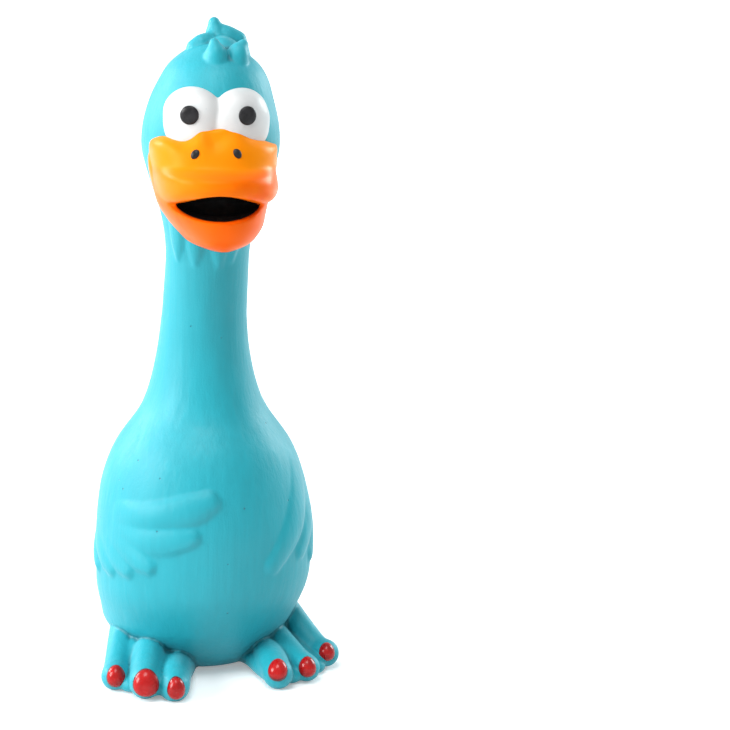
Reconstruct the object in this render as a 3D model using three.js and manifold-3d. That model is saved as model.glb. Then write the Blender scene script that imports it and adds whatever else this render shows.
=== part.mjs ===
// Standing long-necked bird, a squeaky dog toy moulded in natural latex.
// Millimetres, +Z up. The bird looks along -Y, so its own right side is at -X.
// One skin is lofted from the floor to the crown and cut where the neck and the belly front flex.
import * as THREE from 'three';
import { mergeVertices } from 'three/addons/utils/BufferGeometryUtils.js';
import Module from 'manifold-3d';

const wasm = await Module();
wasm.setup();

const degrees = THREE.MathUtils.degToRad;

// Body, from the floor up
const baseRadius = 10;
const baseSetBack = 6;
const bellyWidestHeight = 42;
const bellyRadius = 38.9;
const shoulderRise = 88;
const neckRadius = 14.6;
const neckLength = 20;
const neckForward = 4.2;
const headRise = 40;
const headRadius = 23.6;
const headForward = 7;
const crownRise = 36;
const headTurn = degrees(-2.2);

// The origin is the centre of the whole toy's footprint, which the feet widen and lengthen
const originRight = 4.7;
const originForward = 1.5;

// Skin, filling and clearances
const skinWall = 2.2;
const seat = 0.3;
const fibreGap = 0.6;
const overrun = 40;

// Flexing places
const flexMargin = 3.6;
const swayBelowNeck = 12;
const pressRadius = 12.5;
const pressHeight = 35;
const pressLeft = 2;

// Wings: pads of low relief on the belly's sides, with feathers that run out of them
const featherWidth = 6;
const featherRelief = 2;
const padWidth = 21;
const padRise = 30;
const padThickness = 11;
const padRelief = 1.5;
const padHeightRight = 69;
const padHeightLeft = 70;

// Throat feathers, short points that hang below the chin
const throatWidth = 3.2;
const throatLength = 10;
const throatRelief = 1.1;

// Feet
const footReach = 50;
const toeRadius = 5.4;
const toeRootHeight = 11.5;
const nailRadius = 3.6;
const nailTilt = degrees(28);

// Tail, a short upturned point at the back
const tailReach = 11;
const tailWidth = 9;
const tailThickness = 5.6;
const tailHeight = 27;

// Eyes
const eyeRadius = 10.6;
const eyeThickness = 8.5;
const eyeSink = 4;
const eyeHeight = 13;
const eyeTurn = 24;
const pupilRadius = 3.1;
const pupilBulge = 1.1;
const pupilInset = 1;

// Bill, set into the face, with heights counted down from the head's widest place
const billWidth = 22.2;
const billReach = 30;
const billSink = 16;
const billBack = 5;
const billDrop = 16;
const billHeight = 24.8;
const lowerBillDrop = 18.4;
const lowerBillHeight = 32;

// Mouth, a lens-shaped pocket between the two halves of the bill
const mouthWidth = 14.2;
const mouthDrop = 16.6;
const mouthRoof = 2.9;
const mouthFloor = 5.3;
const mouthInset = 12;
const liningReach = 8;
const liningWall = 1;

// Nostrils, small raised ovals on the bill
const nostrilSpread = 7.2;
const nostrilLift = 16;
const nostrilWidth = 1.5;
const nostrilRise = 1.75;
const nostrilBulge = 0.9;
const nostrilTurn = degrees(14);

// Squeaker: a barrel that a bead holds in the collar of the base hole, and a vented cap
const barrelRadius = 5.4;
const barrelWall = 1;
const barrelHeight = 12;
const barrelRecess = 0.6;
const floorThickness = 1.2;
const collarWall = 3;
const collarHeight = 4.6;
const beadRise = 1.2;
const beadHeight = 1.4;
const capThickness = 1;
const capPlug = 1.2;
const airHoleRadius = 0.5;
const airHoles = 6;

// Reed: a tube through the barrel's floor, the trough and wedge that fill it, and the brass strip
const tubeRadius = 2.3;
const tubeWall = 0.6;
const tubeLength = 8.4;
const flangeWidth = 0.9;
const flangeThickness = 0.8;
const reedWidth = 2;
const reedThickness = 0.25;
const reedLength = 6.2;
const wedgeLength = 2;
const slotWidth = 0.9;

// Facets
const skinSides = 28;
const fibreSides = 14;
const ballSides = 28;
const billSides = 28;
const mouthSides = 24;
const barrelSides = 20;
const eyeSides = 18;
const toeSides = 12;
const smallSides = 12;
const featherSides = 8;
const pointSides = 6;
const holeSides = 8;

// Half width of the body along the shoulder and the head, as shares of the change in radius
const shoulderShares = curveOf([[0, 1], [0.13, 0.985], [0.26, 0.909], [0.33, 0.855], [0.4, 0.785],
  [0.47, 0.675], [0.53, 0.527], [0.58, 0.395], [0.63, 0.29], [0.7, 0.188], [0.78, 0.11], [0.87, 0.048],
  [1, 0]]);
const headShares = curveOf([[0, 0], [0.13, 0.033], [0.27, 0.122], [0.41, 0.256], [0.55, 0.467],
  [0.68, 0.656], [0.83, 0.85], [0.93, 0.965], [1, 1]]);
// Depth of the body, as shares of its width
const bellyDepthShare = 0.95;
const headDepthShare = 1.06;
// Rows of the body's rings, as shares of each rise, and as turns above the head's widest place
const bellyRowShares = [0, 0.02, 0.07, 0.16, 0.3, 0.48, 0.72, 1];
const shoulderRowShares = [0.16, 0.3, 0.4, 0.48, 0.55, 0.62, 0.71, 0.83, 1];
const headRowShares = [0, 0.2, 0.38, 0.54, 0.7, 0.85, 1];
const crownTurns = [18, 35, 50, 63, 74, 83];

// Feathers of the wings: degrees ahead of the pad's middle and share of the pad's rise above it,
// then width, relief and tip as shares
const featherRightShares = [
  { points: [[6, -0.26], [42, -0.24], [67, -0.16], [89, -0.04]], width: 1, relief: 1.1, tip: 0.72 },
  { points: [[4, -0.36], [36, -0.47], [60, -0.51], [80, -0.48]], width: 1.05, relief: 1, tip: 0.64 },
  { points: [[4, -0.38], [24, -0.62], [40, -0.76], [54, -0.87]], width: 0.95, relief: 1.05, tip: 0.6 },
  { points: [[0, -0.36], [13, -0.66], [27, -0.84], [39, -0.97]], width: 0.8, relief: 0.85, tip: 0.66 },
  { points: [[-7, -0.36], [1, -0.68], [12, -0.9], [22, -1.06]], width: 0.8, relief: 0.8, tip: 0.66 },
  { points: [[-14, -0.34], [-11, -0.64], [-5, -0.88], [3, -1.04]], width: 0.8, relief: 0.8, tip: 0.66 },
];
const featherLeftShares = [
  { points: [[12, 0.42], [27, 0.04], [44, -0.43], [63, -0.92]], width: 1, relief: 0.9, tip: 0.56 },
  { points: [[6, 0], [17, -0.32], [29, -0.62], [40, -0.85]], width: 1, relief: 0.9, tip: 0.6 },
  { points: [[-3, -0.2], [4, -0.5], [13, -0.78], [23, -0.99]], width: 0.86, relief: 0.85, tip: 0.66 },
  { points: [[-12, -0.24], [-8, -0.54], [-1, -0.8], [7, -1]], width: 0.86, relief: 0.8, tip: 0.66 },
];
const padRightTurn = -88;
const padLeftTurn = 92;
// Throat feathers: turn from the front and drop of each tip as a share of the neck's length
const throatShares = [[-52, 0.02], [-25, -0.06], [8, -0.1], [26, 0]];
const throatTipShare = 0.4;

// Toes: turns of root and tip from the front, with places and thickness as shares
const toeRightShares = [
  { root: -77, rootReach: 0.98, rootRise: 1, tip: -46, reach: 1.03, size: 0.9 },
  { root: -54, rootReach: 0.84, rootRise: 0.92, tip: -29, reach: 1.08, size: 1.08 },
  { root: -28, rootReach: 0.7, rootRise: 0.65, tip: -18, reach: 1.05, size: 1 },
];
const toeLeftShares = [
  { root: 40, rootReach: 0.7, rootRise: 0.55, tip: 28, reach: 0.97, size: 1 },
  { root: 60, rootReach: 0.85, rootRise: 0.92, tip: 45, reach: 1.01, size: 0.92 },
  { root: 80, rootReach: 0.94, rootRise: 1.3, tip: 66, reach: 1.05, size: 0.9 },
];
const toeTipHeightShare = 0.8;
const toeMiddleHeightShare = 1.15;
const toeMiddleShare = 0.55;
const toeThicknessShare = 1.04;
const toeTipShare = 0.96;
const instepShare = 0.5;
const instepTipShare = 0.9;
const webReachShare = 0.62;
const webWidthShare = 0.95;
const webHeightShare = 0.62;
const nailBackShare = 0.28;
const nailHeightShare = 1.12;
const nailShares = [1, 0.75, 1.15];

// Tail: places along its reach and up it, as shares of the reach
const tailShares = [[-0.7, -0.2], [0, 0], [0.45, 0.2], [1, 0.8]];
const tailTipShare = 0.4;

// Crest of five tufts, the mound they share and the ridge at its back: places sideways and back as
// shares of the head's radius and up as shares of the crown's rise, then radius and tip as shares
const tuftRadiusShare = 0.255;
const tuftShares = [
  { root: [0.12, 0.1, -0.36], tip: [0.04, 0.15, 0.19], size: 1.7, point: 0.34 },
  { root: [-0.12, -0.02, -0.38], tip: [-0.24, -0.06, 0.01], size: 1.5, point: 0.6 },
  { root: [0.3, 0.17, -0.38], tip: [0.41, 0.16, 0.08], size: 1.35, point: 0.5 },
  { root: [0.03, -0.52, -0.38], tip: [0.04, -0.4, 0.06], size: 1.15, point: 0.34 },
  { root: [0.35, -0.42, -0.42], tip: [0.39, -0.33, 0.04], size: 1.02, point: 0.4 },
  { root: [0.1, 0.12, -0.14], tip: [0.2, -0.5, -0.13], size: 1.3, point: 0.75 },
  { root: [0.02, 0.12, -0.04], tip: [0.4, 0.14, -0.02], size: 0.85, point: 0.75 },
];

// Plan outlines of the bill's halves from the bottom up: height, half width and reach as shares
const upperBillShares = [
  [0, 0.58, 0.8], [0.04, 0.74, 0.9], [0.12, 0.86, 0.967], [0.24, 0.93, 0.993], [0.34, 0.955, 0.943],
  [0.42, 0.968, 0.833], [0.54, 0.99, 0.75], [0.665, 1, 0.7], [0.745, 0.97, 0.667], [0.81, 0.84, 0.633],
  [0.89, 0.52, 0.6], [0.97, 0.3, 0.56],
];
const lowerBillShares = [
  [0, 0.2, 0.48], [0.06, 0.42, 0.6], [0.16, 0.565, 0.7], [0.27, 0.685, 0.783], [0.365, 0.757, 0.833],
  [0.45, 0.825, 0.843], [0.56, 0.892, 0.783], [0.7, 0.955, 0.55], [0.86, 1.005, 0.35], [1, 1.018, 0.15],
];
const mouthEndShares = [1, 0.85, 0.6];
const eyeRiseShare = 0.94;

// Latex and paint colours
const latexBlue = new THREE.MeshStandardMaterial({ color: 0x50cddc, roughness: 0.62 });
const paintWhite = new THREE.MeshStandardMaterial({ color: 0xf4f7f8, roughness: 0.45 });
const paintBlack = new THREE.MeshStandardMaterial({ color: 0x141417, roughness: 0.4 });
const paintOrange = new THREE.MeshStandardMaterial({ color: 0xff8a0a, roughness: 0.32 });
const paintRed = new THREE.MeshStandardMaterial({ color: 0xc8141e, roughness: 0.2 });
const fibreWhite = new THREE.MeshStandardMaterial({ color: 0xf2f0ea, roughness: 0.95 });
const squeakerPlastic = new THREE.MeshStandardMaterial({ color: 0xe9e9e4, roughness: 0.4 });
const reedBrass = new THREE.MeshStandardMaterial({ color: 0xd2a850, roughness: 0.3, metalness: 1 });

// Heights and places that follow from the sizes above
const neckFoot = bellyWidestHeight + shoulderRise;
const neckTop = neckFoot + neckLength;
const headWidest = neckTop + headRise;
const crown = headWidest + crownRise;
const swayHeight = neckFoot - swayBelowNeck;
const flexRadius = neckRadius + flexMargin;
const billRoot = headForward + headRadius * headDepthShare - billSink;
const billBottom = headWidest - billDrop;
const mouthHeight = headWidest - mouthDrop;
const mouthBack = billRoot + mouthInset;
const base = new THREE.Vector3(0, baseSetBack, 0);
const barrelBottom = barrelRecess;
const barrelTop = barrelBottom + barrelHeight;
const barrelFloor = barrelBottom + floorThickness;
const collarRadius = barrelRadius + collarWall;

// How deep the body is at a height, and how far forward the middle of each section lies
const depthShares = curveOf([[0, bellyDepthShare], [bellyWidestHeight, bellyDepthShare], [neckFoot, 1],
  [neckTop, 1], [headWidest, headDepthShare], [crown, headDepthShare]]);
const leanAt = curveOf([[0, -baseSetBack], [bellyWidestHeight, 0], [swayHeight, neckForward / 4],
  [neckTop, neckForward], [headWidest, headForward], [crown, headForward]]);

// Solid from a closed three.js geometry
function solid(geometry) {
  const bare = geometry.clone();
  bare.deleteAttribute('normal');
  bare.deleteAttribute('uv');
  const merged = mergeVertices(bare);
  return new wasm.Manifold(new wasm.Mesh({
    numProp: 3,
    vertProperties: new Float32Array(merged.attributes.position.array),
    triVerts: new Uint32Array(merged.index.array),
  }));
}

// Named three.js mesh from a solid
function piece(name, body, material) {
  const { vertProperties, triVerts } = body.getMesh();
  const geometry = new THREE.BufferGeometry();
  geometry.setAttribute('position', new THREE.BufferAttribute(new Float32Array(vertProperties), 3));
  geometry.setIndex(new THREE.BufferAttribute(new Uint32Array(triVerts), 1));
  geometry.computeVertexNormals();
  const mesh = new THREE.Mesh(geometry, material);
  mesh.name = name;
  return mesh;
}

const joined = (bodies) => bodies.reduce((sum, body) => sum.add(body));

// Closed solid through rings of points, each running anticlockwise about the way they follow
function loft(rings) {
  const sides = rings[0].length;
  const points = rings.flat();
  const faces = [];
  for (let i = 0; i + 1 < rings.length; i += 1) {
    for (let j = 0; j < sides; j += 1) {
      const a = i * sides + j;
      const b = i * sides + (j + 1) % sides;
      faces.push(a, b, b + sides, a, b + sides, a + sides);
    }
  }
  const middle = (ring) => ring.reduce((sum, p) => sum.add(p), new THREE.Vector3()).divideScalar(sides);
  const start = points.push(middle(rings[0])) - 1;
  const end = points.push(middle(rings[rings.length - 1])) - 1;
  const last = (rings.length - 1) * sides;
  for (let j = 0; j < sides; j += 1) {
    const next = (j + 1) % sides;
    faces.push(start, next, j, end, last + j, last + next);
  }
  const geometry = new THREE.BufferGeometry().setFromPoints(points);
  geometry.setIndex(faces);
  return solid(geometry);
}

// Angles of a ring's points
const turnsOf = (sides) => Array.from({ length: sides }, (_, j) => 2 * Math.PI * j / sides);

// Smooth curve through a table of [place, value] rows
function curveOf(rows) {
  const places = rows.map((row) => row[0]);
  const values = rows.map((row) => row[1]);
  const curve = new THREE.CubicInterpolant(places, values, 1);
  return (place) => curve.evaluate(place)[0];
}

// Half width of the body at a height, up to the head's widest place
function radiusAt(height) {
  if (height <= bellyWidestHeight) {
    const below = 1 - height / bellyWidestHeight;
    return baseRadius + (bellyRadius - baseRadius) * Math.sqrt(1 - below * below);
  }
  if (height <= neckFoot) {
    const share = shoulderShares((height - bellyWidestHeight) / shoulderRise);
    return neckRadius + (bellyRadius - neckRadius) * share;
  }
  if (height <= neckTop) return neckRadius;
  return neckRadius + (headRadius - neckRadius) * headShares((height - neckTop) / headRise);
}

// Profile of the body as [half width, height] points from the edge of the base to near the crown
function bodyProfile() {
  const rowsUp = (from, rise, shares) => shares.map((share) => from + rise * share);
  const heights = [...rowsUp(0, bellyWidestHeight, bellyRowShares),
    ...rowsUp(bellyWidestHeight, shoulderRise, shoulderRowShares),
    ...rowsUp(neckTop, headRise, headRowShares)];
  const rows = heights.map((height) => new THREE.Vector2(radiusAt(height), height));
  for (const turn of crownTurns) {
    const angle = degrees(turn);
    rows.push(new THREE.Vector2(headRadius * Math.cos(angle), headWidest + crownRise * Math.sin(angle)));
  }
  return rows;
}

// The profile moved out square to itself, or in where the distance is below zero
function movedProfile(rows, distance) {
  const before = new THREE.Vector2(0, rows[0].y);
  const after = new THREE.Vector2(0, crown);
  return rows.map((row, i) => {
    const into = row.clone().sub(i > 0 ? rows[i - 1] : before).normalize();
    const out = (i + 1 < rows.length ? rows[i + 1] : after).clone().sub(row).normalize();
    const across = new THREE.Vector2(into.y + out.y, -into.x - out.x);
    return row.clone().addScaledVector(across, 2 * distance / across.lengthSq());
  });
}

// Whole body, with its surface moved out by a distance
function bodySolid(distance, sides = skinSides) {
  const profile = bodyProfile();
  const rings = movedProfile(profile, distance).map((row, i) => {
    const height = profile[i].y;
    const depth = row.x + profile[i].x * (depthShares(height) - 1);
    return turnsOf(sides).map((angle) => new THREE.Vector3(
      row.x * Math.cos(angle),
      depth * Math.sin(angle) - leanAt(height),
      row.y,
    ));
  });
  return loft(rings);
}

// Point of the body's surface at an angle from the front, turned towards the bird's left
function onBody(turn, height) {
  const angle = degrees(turn);
  const radius = radiusAt(height);
  const depth = radius * depthShares(height);
  return new THREE.Vector3(radius * Math.sin(angle), -leanAt(height) - depth * Math.cos(angle), height);
}

// The same for a height above the head's widest place
function onHead(turn, above) {
  const angle = degrees(turn);
  const radius = headRadius * Math.sqrt(1 - (above / crownRise) ** 2);
  const height = headWidest + above;
  const depth = radius * depthShares(height);
  return new THREE.Vector3(radius * Math.sin(angle), -leanAt(height) - depth * Math.cos(angle), height);
}

// Ways up for limbs: straight up, or out from the body's axis
const upward = () => new THREE.Vector3(0, 0, 1);
const forward = () => new THREE.Vector3(0, -1, 0);
const outward = (spot) => new THREE.Vector3(spot.x, spot.y + leanAt(spot.z), 0);

// Tapered limb of oval rings along a curve, with a rounded tip
function limb({ through, width, height, tipShare, up, sides, steps }) {
  const path = new THREE.CatmullRomCurve3(through);
  const length = path.getLength();
  const tip = width * tipShare;
  const rings = [];
  for (let i = 0; i < steps; i += 1) {
    const place = i === 0 ? 0 : Math.sin(Math.PI / 2 * (i + 1) / (steps + 1)) ** (4 / 3);
    const spot = path.getPointAt(place);
    const along = path.getTangentAt(place);
    const side = up(spot).cross(along).normalize();
    const rise = along.clone().cross(side);
    const rest = Math.min((1 - place) * length / tip, 1);
    const round = Math.sqrt(1 - (1 - rest) ** 2);
    const taper = round * (1 - (1 - tipShare) * place);
    rings.push(turnsOf(sides).map((angle) => spot.clone()
      .addScaledVector(side, width * taper * Math.cos(angle))
      .addScaledVector(rise, height * taper * Math.sin(angle))));
  }
  return loft(rings);
}

// Block that fills everything above or below a height
function halfSpace(height, above) {
  const reach = crown + overrun;
  const block = new THREE.BoxGeometry(2 * reach, 2 * reach, reach);
  block.translate(0, 0, above ? height + reach / 2 : height - reach / 2);
  return solid(block);
}

function oval(radii, centre, sides, turn = 0, tilt = 0) {
  const shape = new THREE.SphereGeometry(1, sides, Math.ceil(sides / 2));
  shape.rotateX(Math.PI / 2);
  shape.scale(radii.x, radii.y, radii.z);
  shape.rotateX(tilt);
  shape.rotateZ(turn);
  return solid(shape.translate(centre.x, centre.y, centre.z));
}

const ball = (radius, centre) => oval(new THREE.Vector3(radius, radius, radius), centre, ballSides);

// Bar along Z or Y
function rod(radius, length, centre, sides, alongY = false) {
  const bar = new THREE.CylinderGeometry(radius, radius, length, sides);
  if (!alongY) bar.rotateX(Math.PI / 2);
  return solid(bar.translate(centre.x, centre.y, centre.z));
}

// Solid turned about the squeaker's axis from a closed outline of [radius, height] points
function turned(outline) {
  const profile = outline.map((point) => new THREE.Vector2(...point));
  const shape = new THREE.LatheGeometry([...profile, profile[0]], barrelSides);
  shape.rotateX(Math.PI / 2);
  return solid(shape.translate(base.x, base.y, base.z));
}

// Body solids and the balls that the flexing places turn on
const outer = bodySolid(0);
const around = bodySolid(seat);
const inner = bodySolid(-skinWall);
const filling = bodySolid(-skinWall - fibreGap, fibreSides);
const swayCentre = new THREE.Vector3(0, -leanAt(swayHeight), swayHeight);
const nodCentre = new THREE.Vector3(0, -neckForward, neckTop);
const aboveBelly = halfSpace(swayHeight, true).subtract(ball(flexRadius - seat / 2, swayCentre));
const belowNeck = halfSpace(swayHeight, false).add(ball(flexRadius + seat / 2, swayCentre));
const aboveNeck = halfSpace(neckTop, true).subtract(ball(flexRadius - seat / 2, nodCentre));
const belowHead = halfSpace(neckTop, false).add(ball(flexRadius + seat / 2, nodCentre));
const asBelly = (body) => body.subtract(aboveBelly);
const asNeck = (body) => body.subtract(belowNeck).subtract(aboveNeck);
const asHead = (body) => body.subtract(belowHead);

// Bar that cuts the press window out of the belly front
function pressBar(radius) {
  return rod(radius, overrun, new THREE.Vector3(pressLeft, -bellyRadius, pressHeight), skinSides, true);
}

function bellySkin() {
  const plugHole = rod(barrelRadius + seat, overrun, base, skinSides);
  const collar = rod(collarRadius, collarHeight, base.clone().setZ(collarHeight / 2), skinSides);
  return asBelly(outer.subtract(inner)).add(collar).subtract(pressBar(pressRadius + seat)).subtract(plugHole);
}

function neckSkin() {
  const feathers = throatShares.map(([turn, dropShare]) => {
    const tip = neckTop + neckLength * dropShare;
    const root = tip + throatLength;
    const through = [onBody(turn, root), onBody(turn, (root + tip) / 2), onBody(turn, tip)];
    return limb({ through, width: throatWidth, height: throatRelief, tipShare: throatTipShare,
      up: outward, sides: pointSides, steps: 5 });
  });
  return asNeck(outer.subtract(inner).add(joined(feathers).subtract(inner)));
}

// Wing in relief on the belly: a pad on the side and the feathers that run out of it
function wing(featherShares, padTurn, padHeight) {
  const turn = degrees(padTurn);
  const half = padRise / 2;
  const slope = Math.atan2(radiusAt(padHeight + half) - radiusAt(padHeight - half), padRise);
  const sink = padThickness - padRelief;
  const inward = new THREE.Vector3(-Math.sin(turn), Math.cos(turn), 0);
  const centre = onBody(padTurn, padHeight).addScaledVector(inward, sink);
  const pad = oval(new THREE.Vector3(padWidth, padThickness, padRise), centre, eyeSides, turn, slope);
  const feathers = featherShares.map(({ points, width, relief, tip }) => limb({
    through: points.map(([ahead, share]) => (
      onBody(padTurn - Math.sign(padTurn) * ahead, padHeight + share * padRise)
    )),
    width: width * featherWidth,
    height: relief * featherRelief,
    tipShare: tip,
    up: outward,
    sides: featherSides,
    steps: 6,
  }));
  return joined([pad, ...feathers]).subtract(around);
}

function floorPoint(turn, reach, height) {
  const angle = degrees(turn);
  return new THREE.Vector3(reach * Math.sin(angle), -reach * Math.cos(angle), height);
}

// Places that a toe runs through, from its root at the belly to its tip on the floor
function toePlaces(shares) {
  const radius = toeRadius * shares.size;
  const rootHeight = toeRootHeight * shares.rootRise;
  const root = floorPoint(shares.root, radiusAt(rootHeight) * shares.rootReach, rootHeight);
  const tip = floorPoint(shares.tip, footReach * shares.reach, radius * toeTipHeightShare);
  const middle = root.clone().lerp(tip, toeMiddleShare).setZ(radius * toeMiddleHeightShare);
  return [root, middle, tip];
}

function toe(shares, distance) {
  const radius = (toeRadius * shares.size + distance) * toeThicknessShare;
  const through = toePlaces(shares);
  const along = through[2].clone().sub(through[1]).normalize();
  through[2].addScaledVector(along, distance);
  return limb({ through, width: radius, height: radius, tipShare: toeTipShare, up: upward,
    sides: toeSides, steps: 8 });
}

// Web between two toes, which stops short of their tips
function web(one, other) {
  const places = toePlaces(one).map((spot, i) => spot.lerp(toePlaces(other)[i], 1 / 2));
  const [root, middle, tip] = places.map((spot) => spot.setZ(spot.z * webHeightShare));
  const end = middle.clone().lerp(tip, webReachShare);
  return limb({ through: [root, middle, end], width: toeRadius * webWidthShare,
    height: toeRadius * webHeightShare, tipShare: toeTipShare, up: upward, sides: featherSides, steps: 5 });
}

// Foot: its toes, the webs between them and the instep across their roots, cut flat on the floor
function foot(toes) {
  const through = toes.map((shares) => {
    const [root, middle] = toePlaces(shares);
    return root.lerp(middle, instepShare);
  });
  const instep = limb({ through, width: toeRadius, height: toeRadius, tipShare: instepTipShare,
    up: upward, sides: toeSides, steps: 6 });
  const webs = toes.slice(1).map((shares, i) => web(toes[i], shares));
  const shape = joined([instep, ...webs, ...toes.map((shares) => toe(shares, 0))]);
  return shape.subtract(halfSpace(0, false)).subtract(around);
}

// Nail on the front of a toe's tip
function toenail(shares) {
  const radius = toeRadius * shares.size;
  const nail = nailRadius * shares.size;
  const [, middle, tip] = toePlaces(shares);
  const along = tip.clone().sub(middle).setZ(0).normalize();
  const centre = tip.clone().addScaledVector(along, -radius * nailBackShare).setZ(radius * nailHeightShare);
  const radii = new THREE.Vector3(...nailShares).multiplyScalar(nail);
  const shape = oval(radii, centre, smallSides, Math.atan2(along.x, -along.y), nailTilt);
  return shape.subtract(toe(shares, seat)).subtract(halfSpace(0, false));
}

function tail() {
  const back = onBody(180, tailHeight);
  const through = tailShares.map(([reachShare, riseShare]) => (
    back.clone().add(new THREE.Vector3(0, tailReach * reachShare, tailReach * riseShare))
  ));
  return limb({ through, width: tailWidth, height: tailThickness, tipShare: tailTipShare, up: upward,
    sides: toeSides, steps: 8 }).subtract(around);
}

function crest() {
  const place = ([right, back, rise]) => new THREE.Vector3(
    right * headRadius,
    back * headRadius - headForward,
    crown + rise * crownRise,
  );
  const tufts = tuftShares.map(({ root, tip, size, point }) => {
    const foot = place(root);
    const end = place(tip);
    const through = [foot, foot.clone().lerp(end, 1 / 2), end];
    const radius = headRadius * tuftRadiusShare * size;
    return limb({ through, width: radius, height: radius, tipShare: point, up: forward,
      sides: featherSides + 2, steps: 6 });
  });
  return joined(tufts).subtract(around);
}

function eyeCentre(side) {
  const inward = new THREE.Vector3(0, eyeSink, 0).applyAxisAngle(upward(), degrees(side * eyeTurn));
  return onHead(side * eyeTurn, eyeHeight).add(inward);
}

function eyeShape(side, distance) {
  const radii = new THREE.Vector3(eyeRadius, eyeThickness, eyeRadius * eyeRiseShare).addScalar(distance);
  return oval(radii, eyeCentre(side), eyeSides, degrees(side * eyeTurn));
}

// The whites meet between the eyes
function eye(side) {
  const reach = crown + overrun;
  const otherSide = new THREE.BoxGeometry(reach, reach, reach);
  otherSide.translate(-side * (reach / 2 - seat / 2), 0, headWidest);
  return eyeShape(side, 0).subtract(solid(otherSide)).subtract(around);
}

// Low dome on the front of an eye, a little nearer the beak than its middle
function pupil(side) {
  const turn = degrees(side * eyeTurn);
  const out = eyeThickness * Math.sqrt(1 - (pupilInset / eyeRadius) ** 2);
  const spot = new THREE.Vector3(-side * pupilInset, -out, 0).applyAxisAngle(upward(), turn);
  const across = Math.atan2(pupilInset / eyeRadius ** 2, out / eyeThickness ** 2);
  const radii = new THREE.Vector3(pupilRadius, pupilBulge, pupilRadius);
  const shape = oval(radii, spot.add(eyeCentre(side)), smallSides, turn - side * across);
  return shape.subtract(eyeShape(side, seat));
}

// Half of the bill: plan outlines stacked from the bottom up
function billSolid(rowShares, bottom, height, distance) {
  const rings = rowShares.map(([riseShare, widthShare, reachShare], i) => {
    const end = i === 0 ? -1 : Number(i === rowShares.length - 1);
    const width = billWidth * widthShare + distance;
    const level = bottom + height * riseShare + end * distance;
    return turnsOf(billSides).map((angle) => {
      const reach = (Math.sin(angle) < 0 ? billReach * reachShare : billBack) + distance;
      return new THREE.Vector3(width * Math.cos(angle), reach * Math.sin(angle) - billRoot, level);
    });
  });
  return loft(rings);
}

const upperBill = (distance) => billSolid(upperBillShares, billBottom, billHeight, distance);
const lowerBill = () => billSolid(lowerBillShares, billBottom - lowerBillDrop, lowerBillHeight, 0);

// Mouth's hollow from its rounded back end to a place forward of it
function mouthSolid(distance, front, back) {
  const [full, drawn, end] = mouthEndShares;
  const places = [[front, full], [back + mouthRoof, full], [back + mouthRoof / 3, drawn], [back, end]];
  return loft(places.map(([reach, share]) => turnsOf(mouthSides).map((angle) => {
    const lift = Math.cos(angle) > 0 ? mouthRoof : mouthFloor;
    return new THREE.Vector3(
      (mouthWidth * share + distance) * Math.sin(angle),
      -reach,
      mouthHeight + (lift * share + distance) * Math.cos(angle),
    );
  })));
}
const mouth = mouthSolid(0, billRoot + billReach + overrun, mouthBack);

function upperBeak() {
  const eyes = eyeShape(-1, seat).add(eyeShape(1, seat));
  return upperBill(0).subtract(mouth).subtract(eyes).subtract(around);
}

function lowerBeak() {
  return asHead(lowerBill().subtract(upperBill(seat)).subtract(mouth).subtract(around));
}

function mouthLining() {
  const front = mouthBack + liningReach;
  const shell = mouthSolid(-seat, front, mouthBack + seat);
  const hollow = mouthSolid(-seat - liningWall, front + overrun, mouthBack + seat + liningWall);
  return shell.subtract(hollow);
}

// Reach of the upper bill at a height above its bottom
function billReachAt(lift) {
  const above = upperBillShares.findIndex(([riseShare]) => riseShare * billHeight >= lift);
  const [lowRise, , lowReach] = upperBillShares[above - 1];
  const [highRise, , highReach] = upperBillShares[above];
  const part = (lift / billHeight - lowRise) / (highRise - lowRise);
  return billReach * (lowReach + (highReach - lowReach) * part);
}

function nostril(side) {
  const across = nostrilSpread / billWidth;
  const reach = billRoot + billReachAt(nostrilLift) * Math.sqrt(1 - across * across);
  const centre = new THREE.Vector3(side * nostrilSpread, -reach, billBottom + nostrilLift);
  const radii = new THREE.Vector3(nostrilWidth, nostrilBulge, nostrilRise);
  return oval(radii, centre, smallSides, side * nostrilTurn).subtract(upperBill(seat));
}

// The barrel's bead catches above the collar of the base hole
function squeakerBody() {
  const bore = barrelRadius - barrelWall;
  const hole = tubeRadius + seat;
  const beadBottom = collarHeight + seat;
  return turned([[hole, barrelBottom], [barrelRadius, barrelBottom], [barrelRadius, beadBottom],
    [barrelRadius + beadRise, beadBottom + beadHeight / 2], [barrelRadius, beadBottom + beadHeight],
    [barrelRadius, barrelTop], [bore, barrelTop], [bore, barrelFloor], [hole, barrelFloor]]);
}

function squeakerCap() {
  const plug = barrelRadius - barrelWall - seat;
  const bottom = barrelTop + seat;
  const top = bottom + capThickness;
  const plugBottom = bottom - capPlug;
  let cap = turned([[0, plugBottom], [plug, plugBottom], [plug, bottom], [barrelRadius, bottom],
    [barrelRadius, top], [0, top]]);
  for (const angle of turnsOf(airHoles)) {
    const spot = new THREE.Vector3(Math.cos(angle), Math.sin(angle), 0).multiplyScalar(plug / 2);
    cap = cap.subtract(rod(airHoleRadius, overrun, spot.add(base).setZ(bottom), holeSides));
  }
  return cap;
}

// The reed tube hangs on its flange in the barrel's floor
function reedTube() {
  const bore = tubeRadius - tubeWall;
  const flange = tubeRadius + flangeWidth;
  const flangeBottom = barrelFloor + seat;
  const flangeTop = flangeBottom + flangeThickness;
  const tubeTop = barrelBottom + tubeLength;
  return turned([[bore, barrelBottom], [tubeRadius, barrelBottom], [tubeRadius, flangeBottom],
    [flange, flangeBottom], [flange, flangeTop], [tubeRadius, flangeTop], [tubeRadius, tubeTop],
    [bore, tubeTop]]);
}

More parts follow.
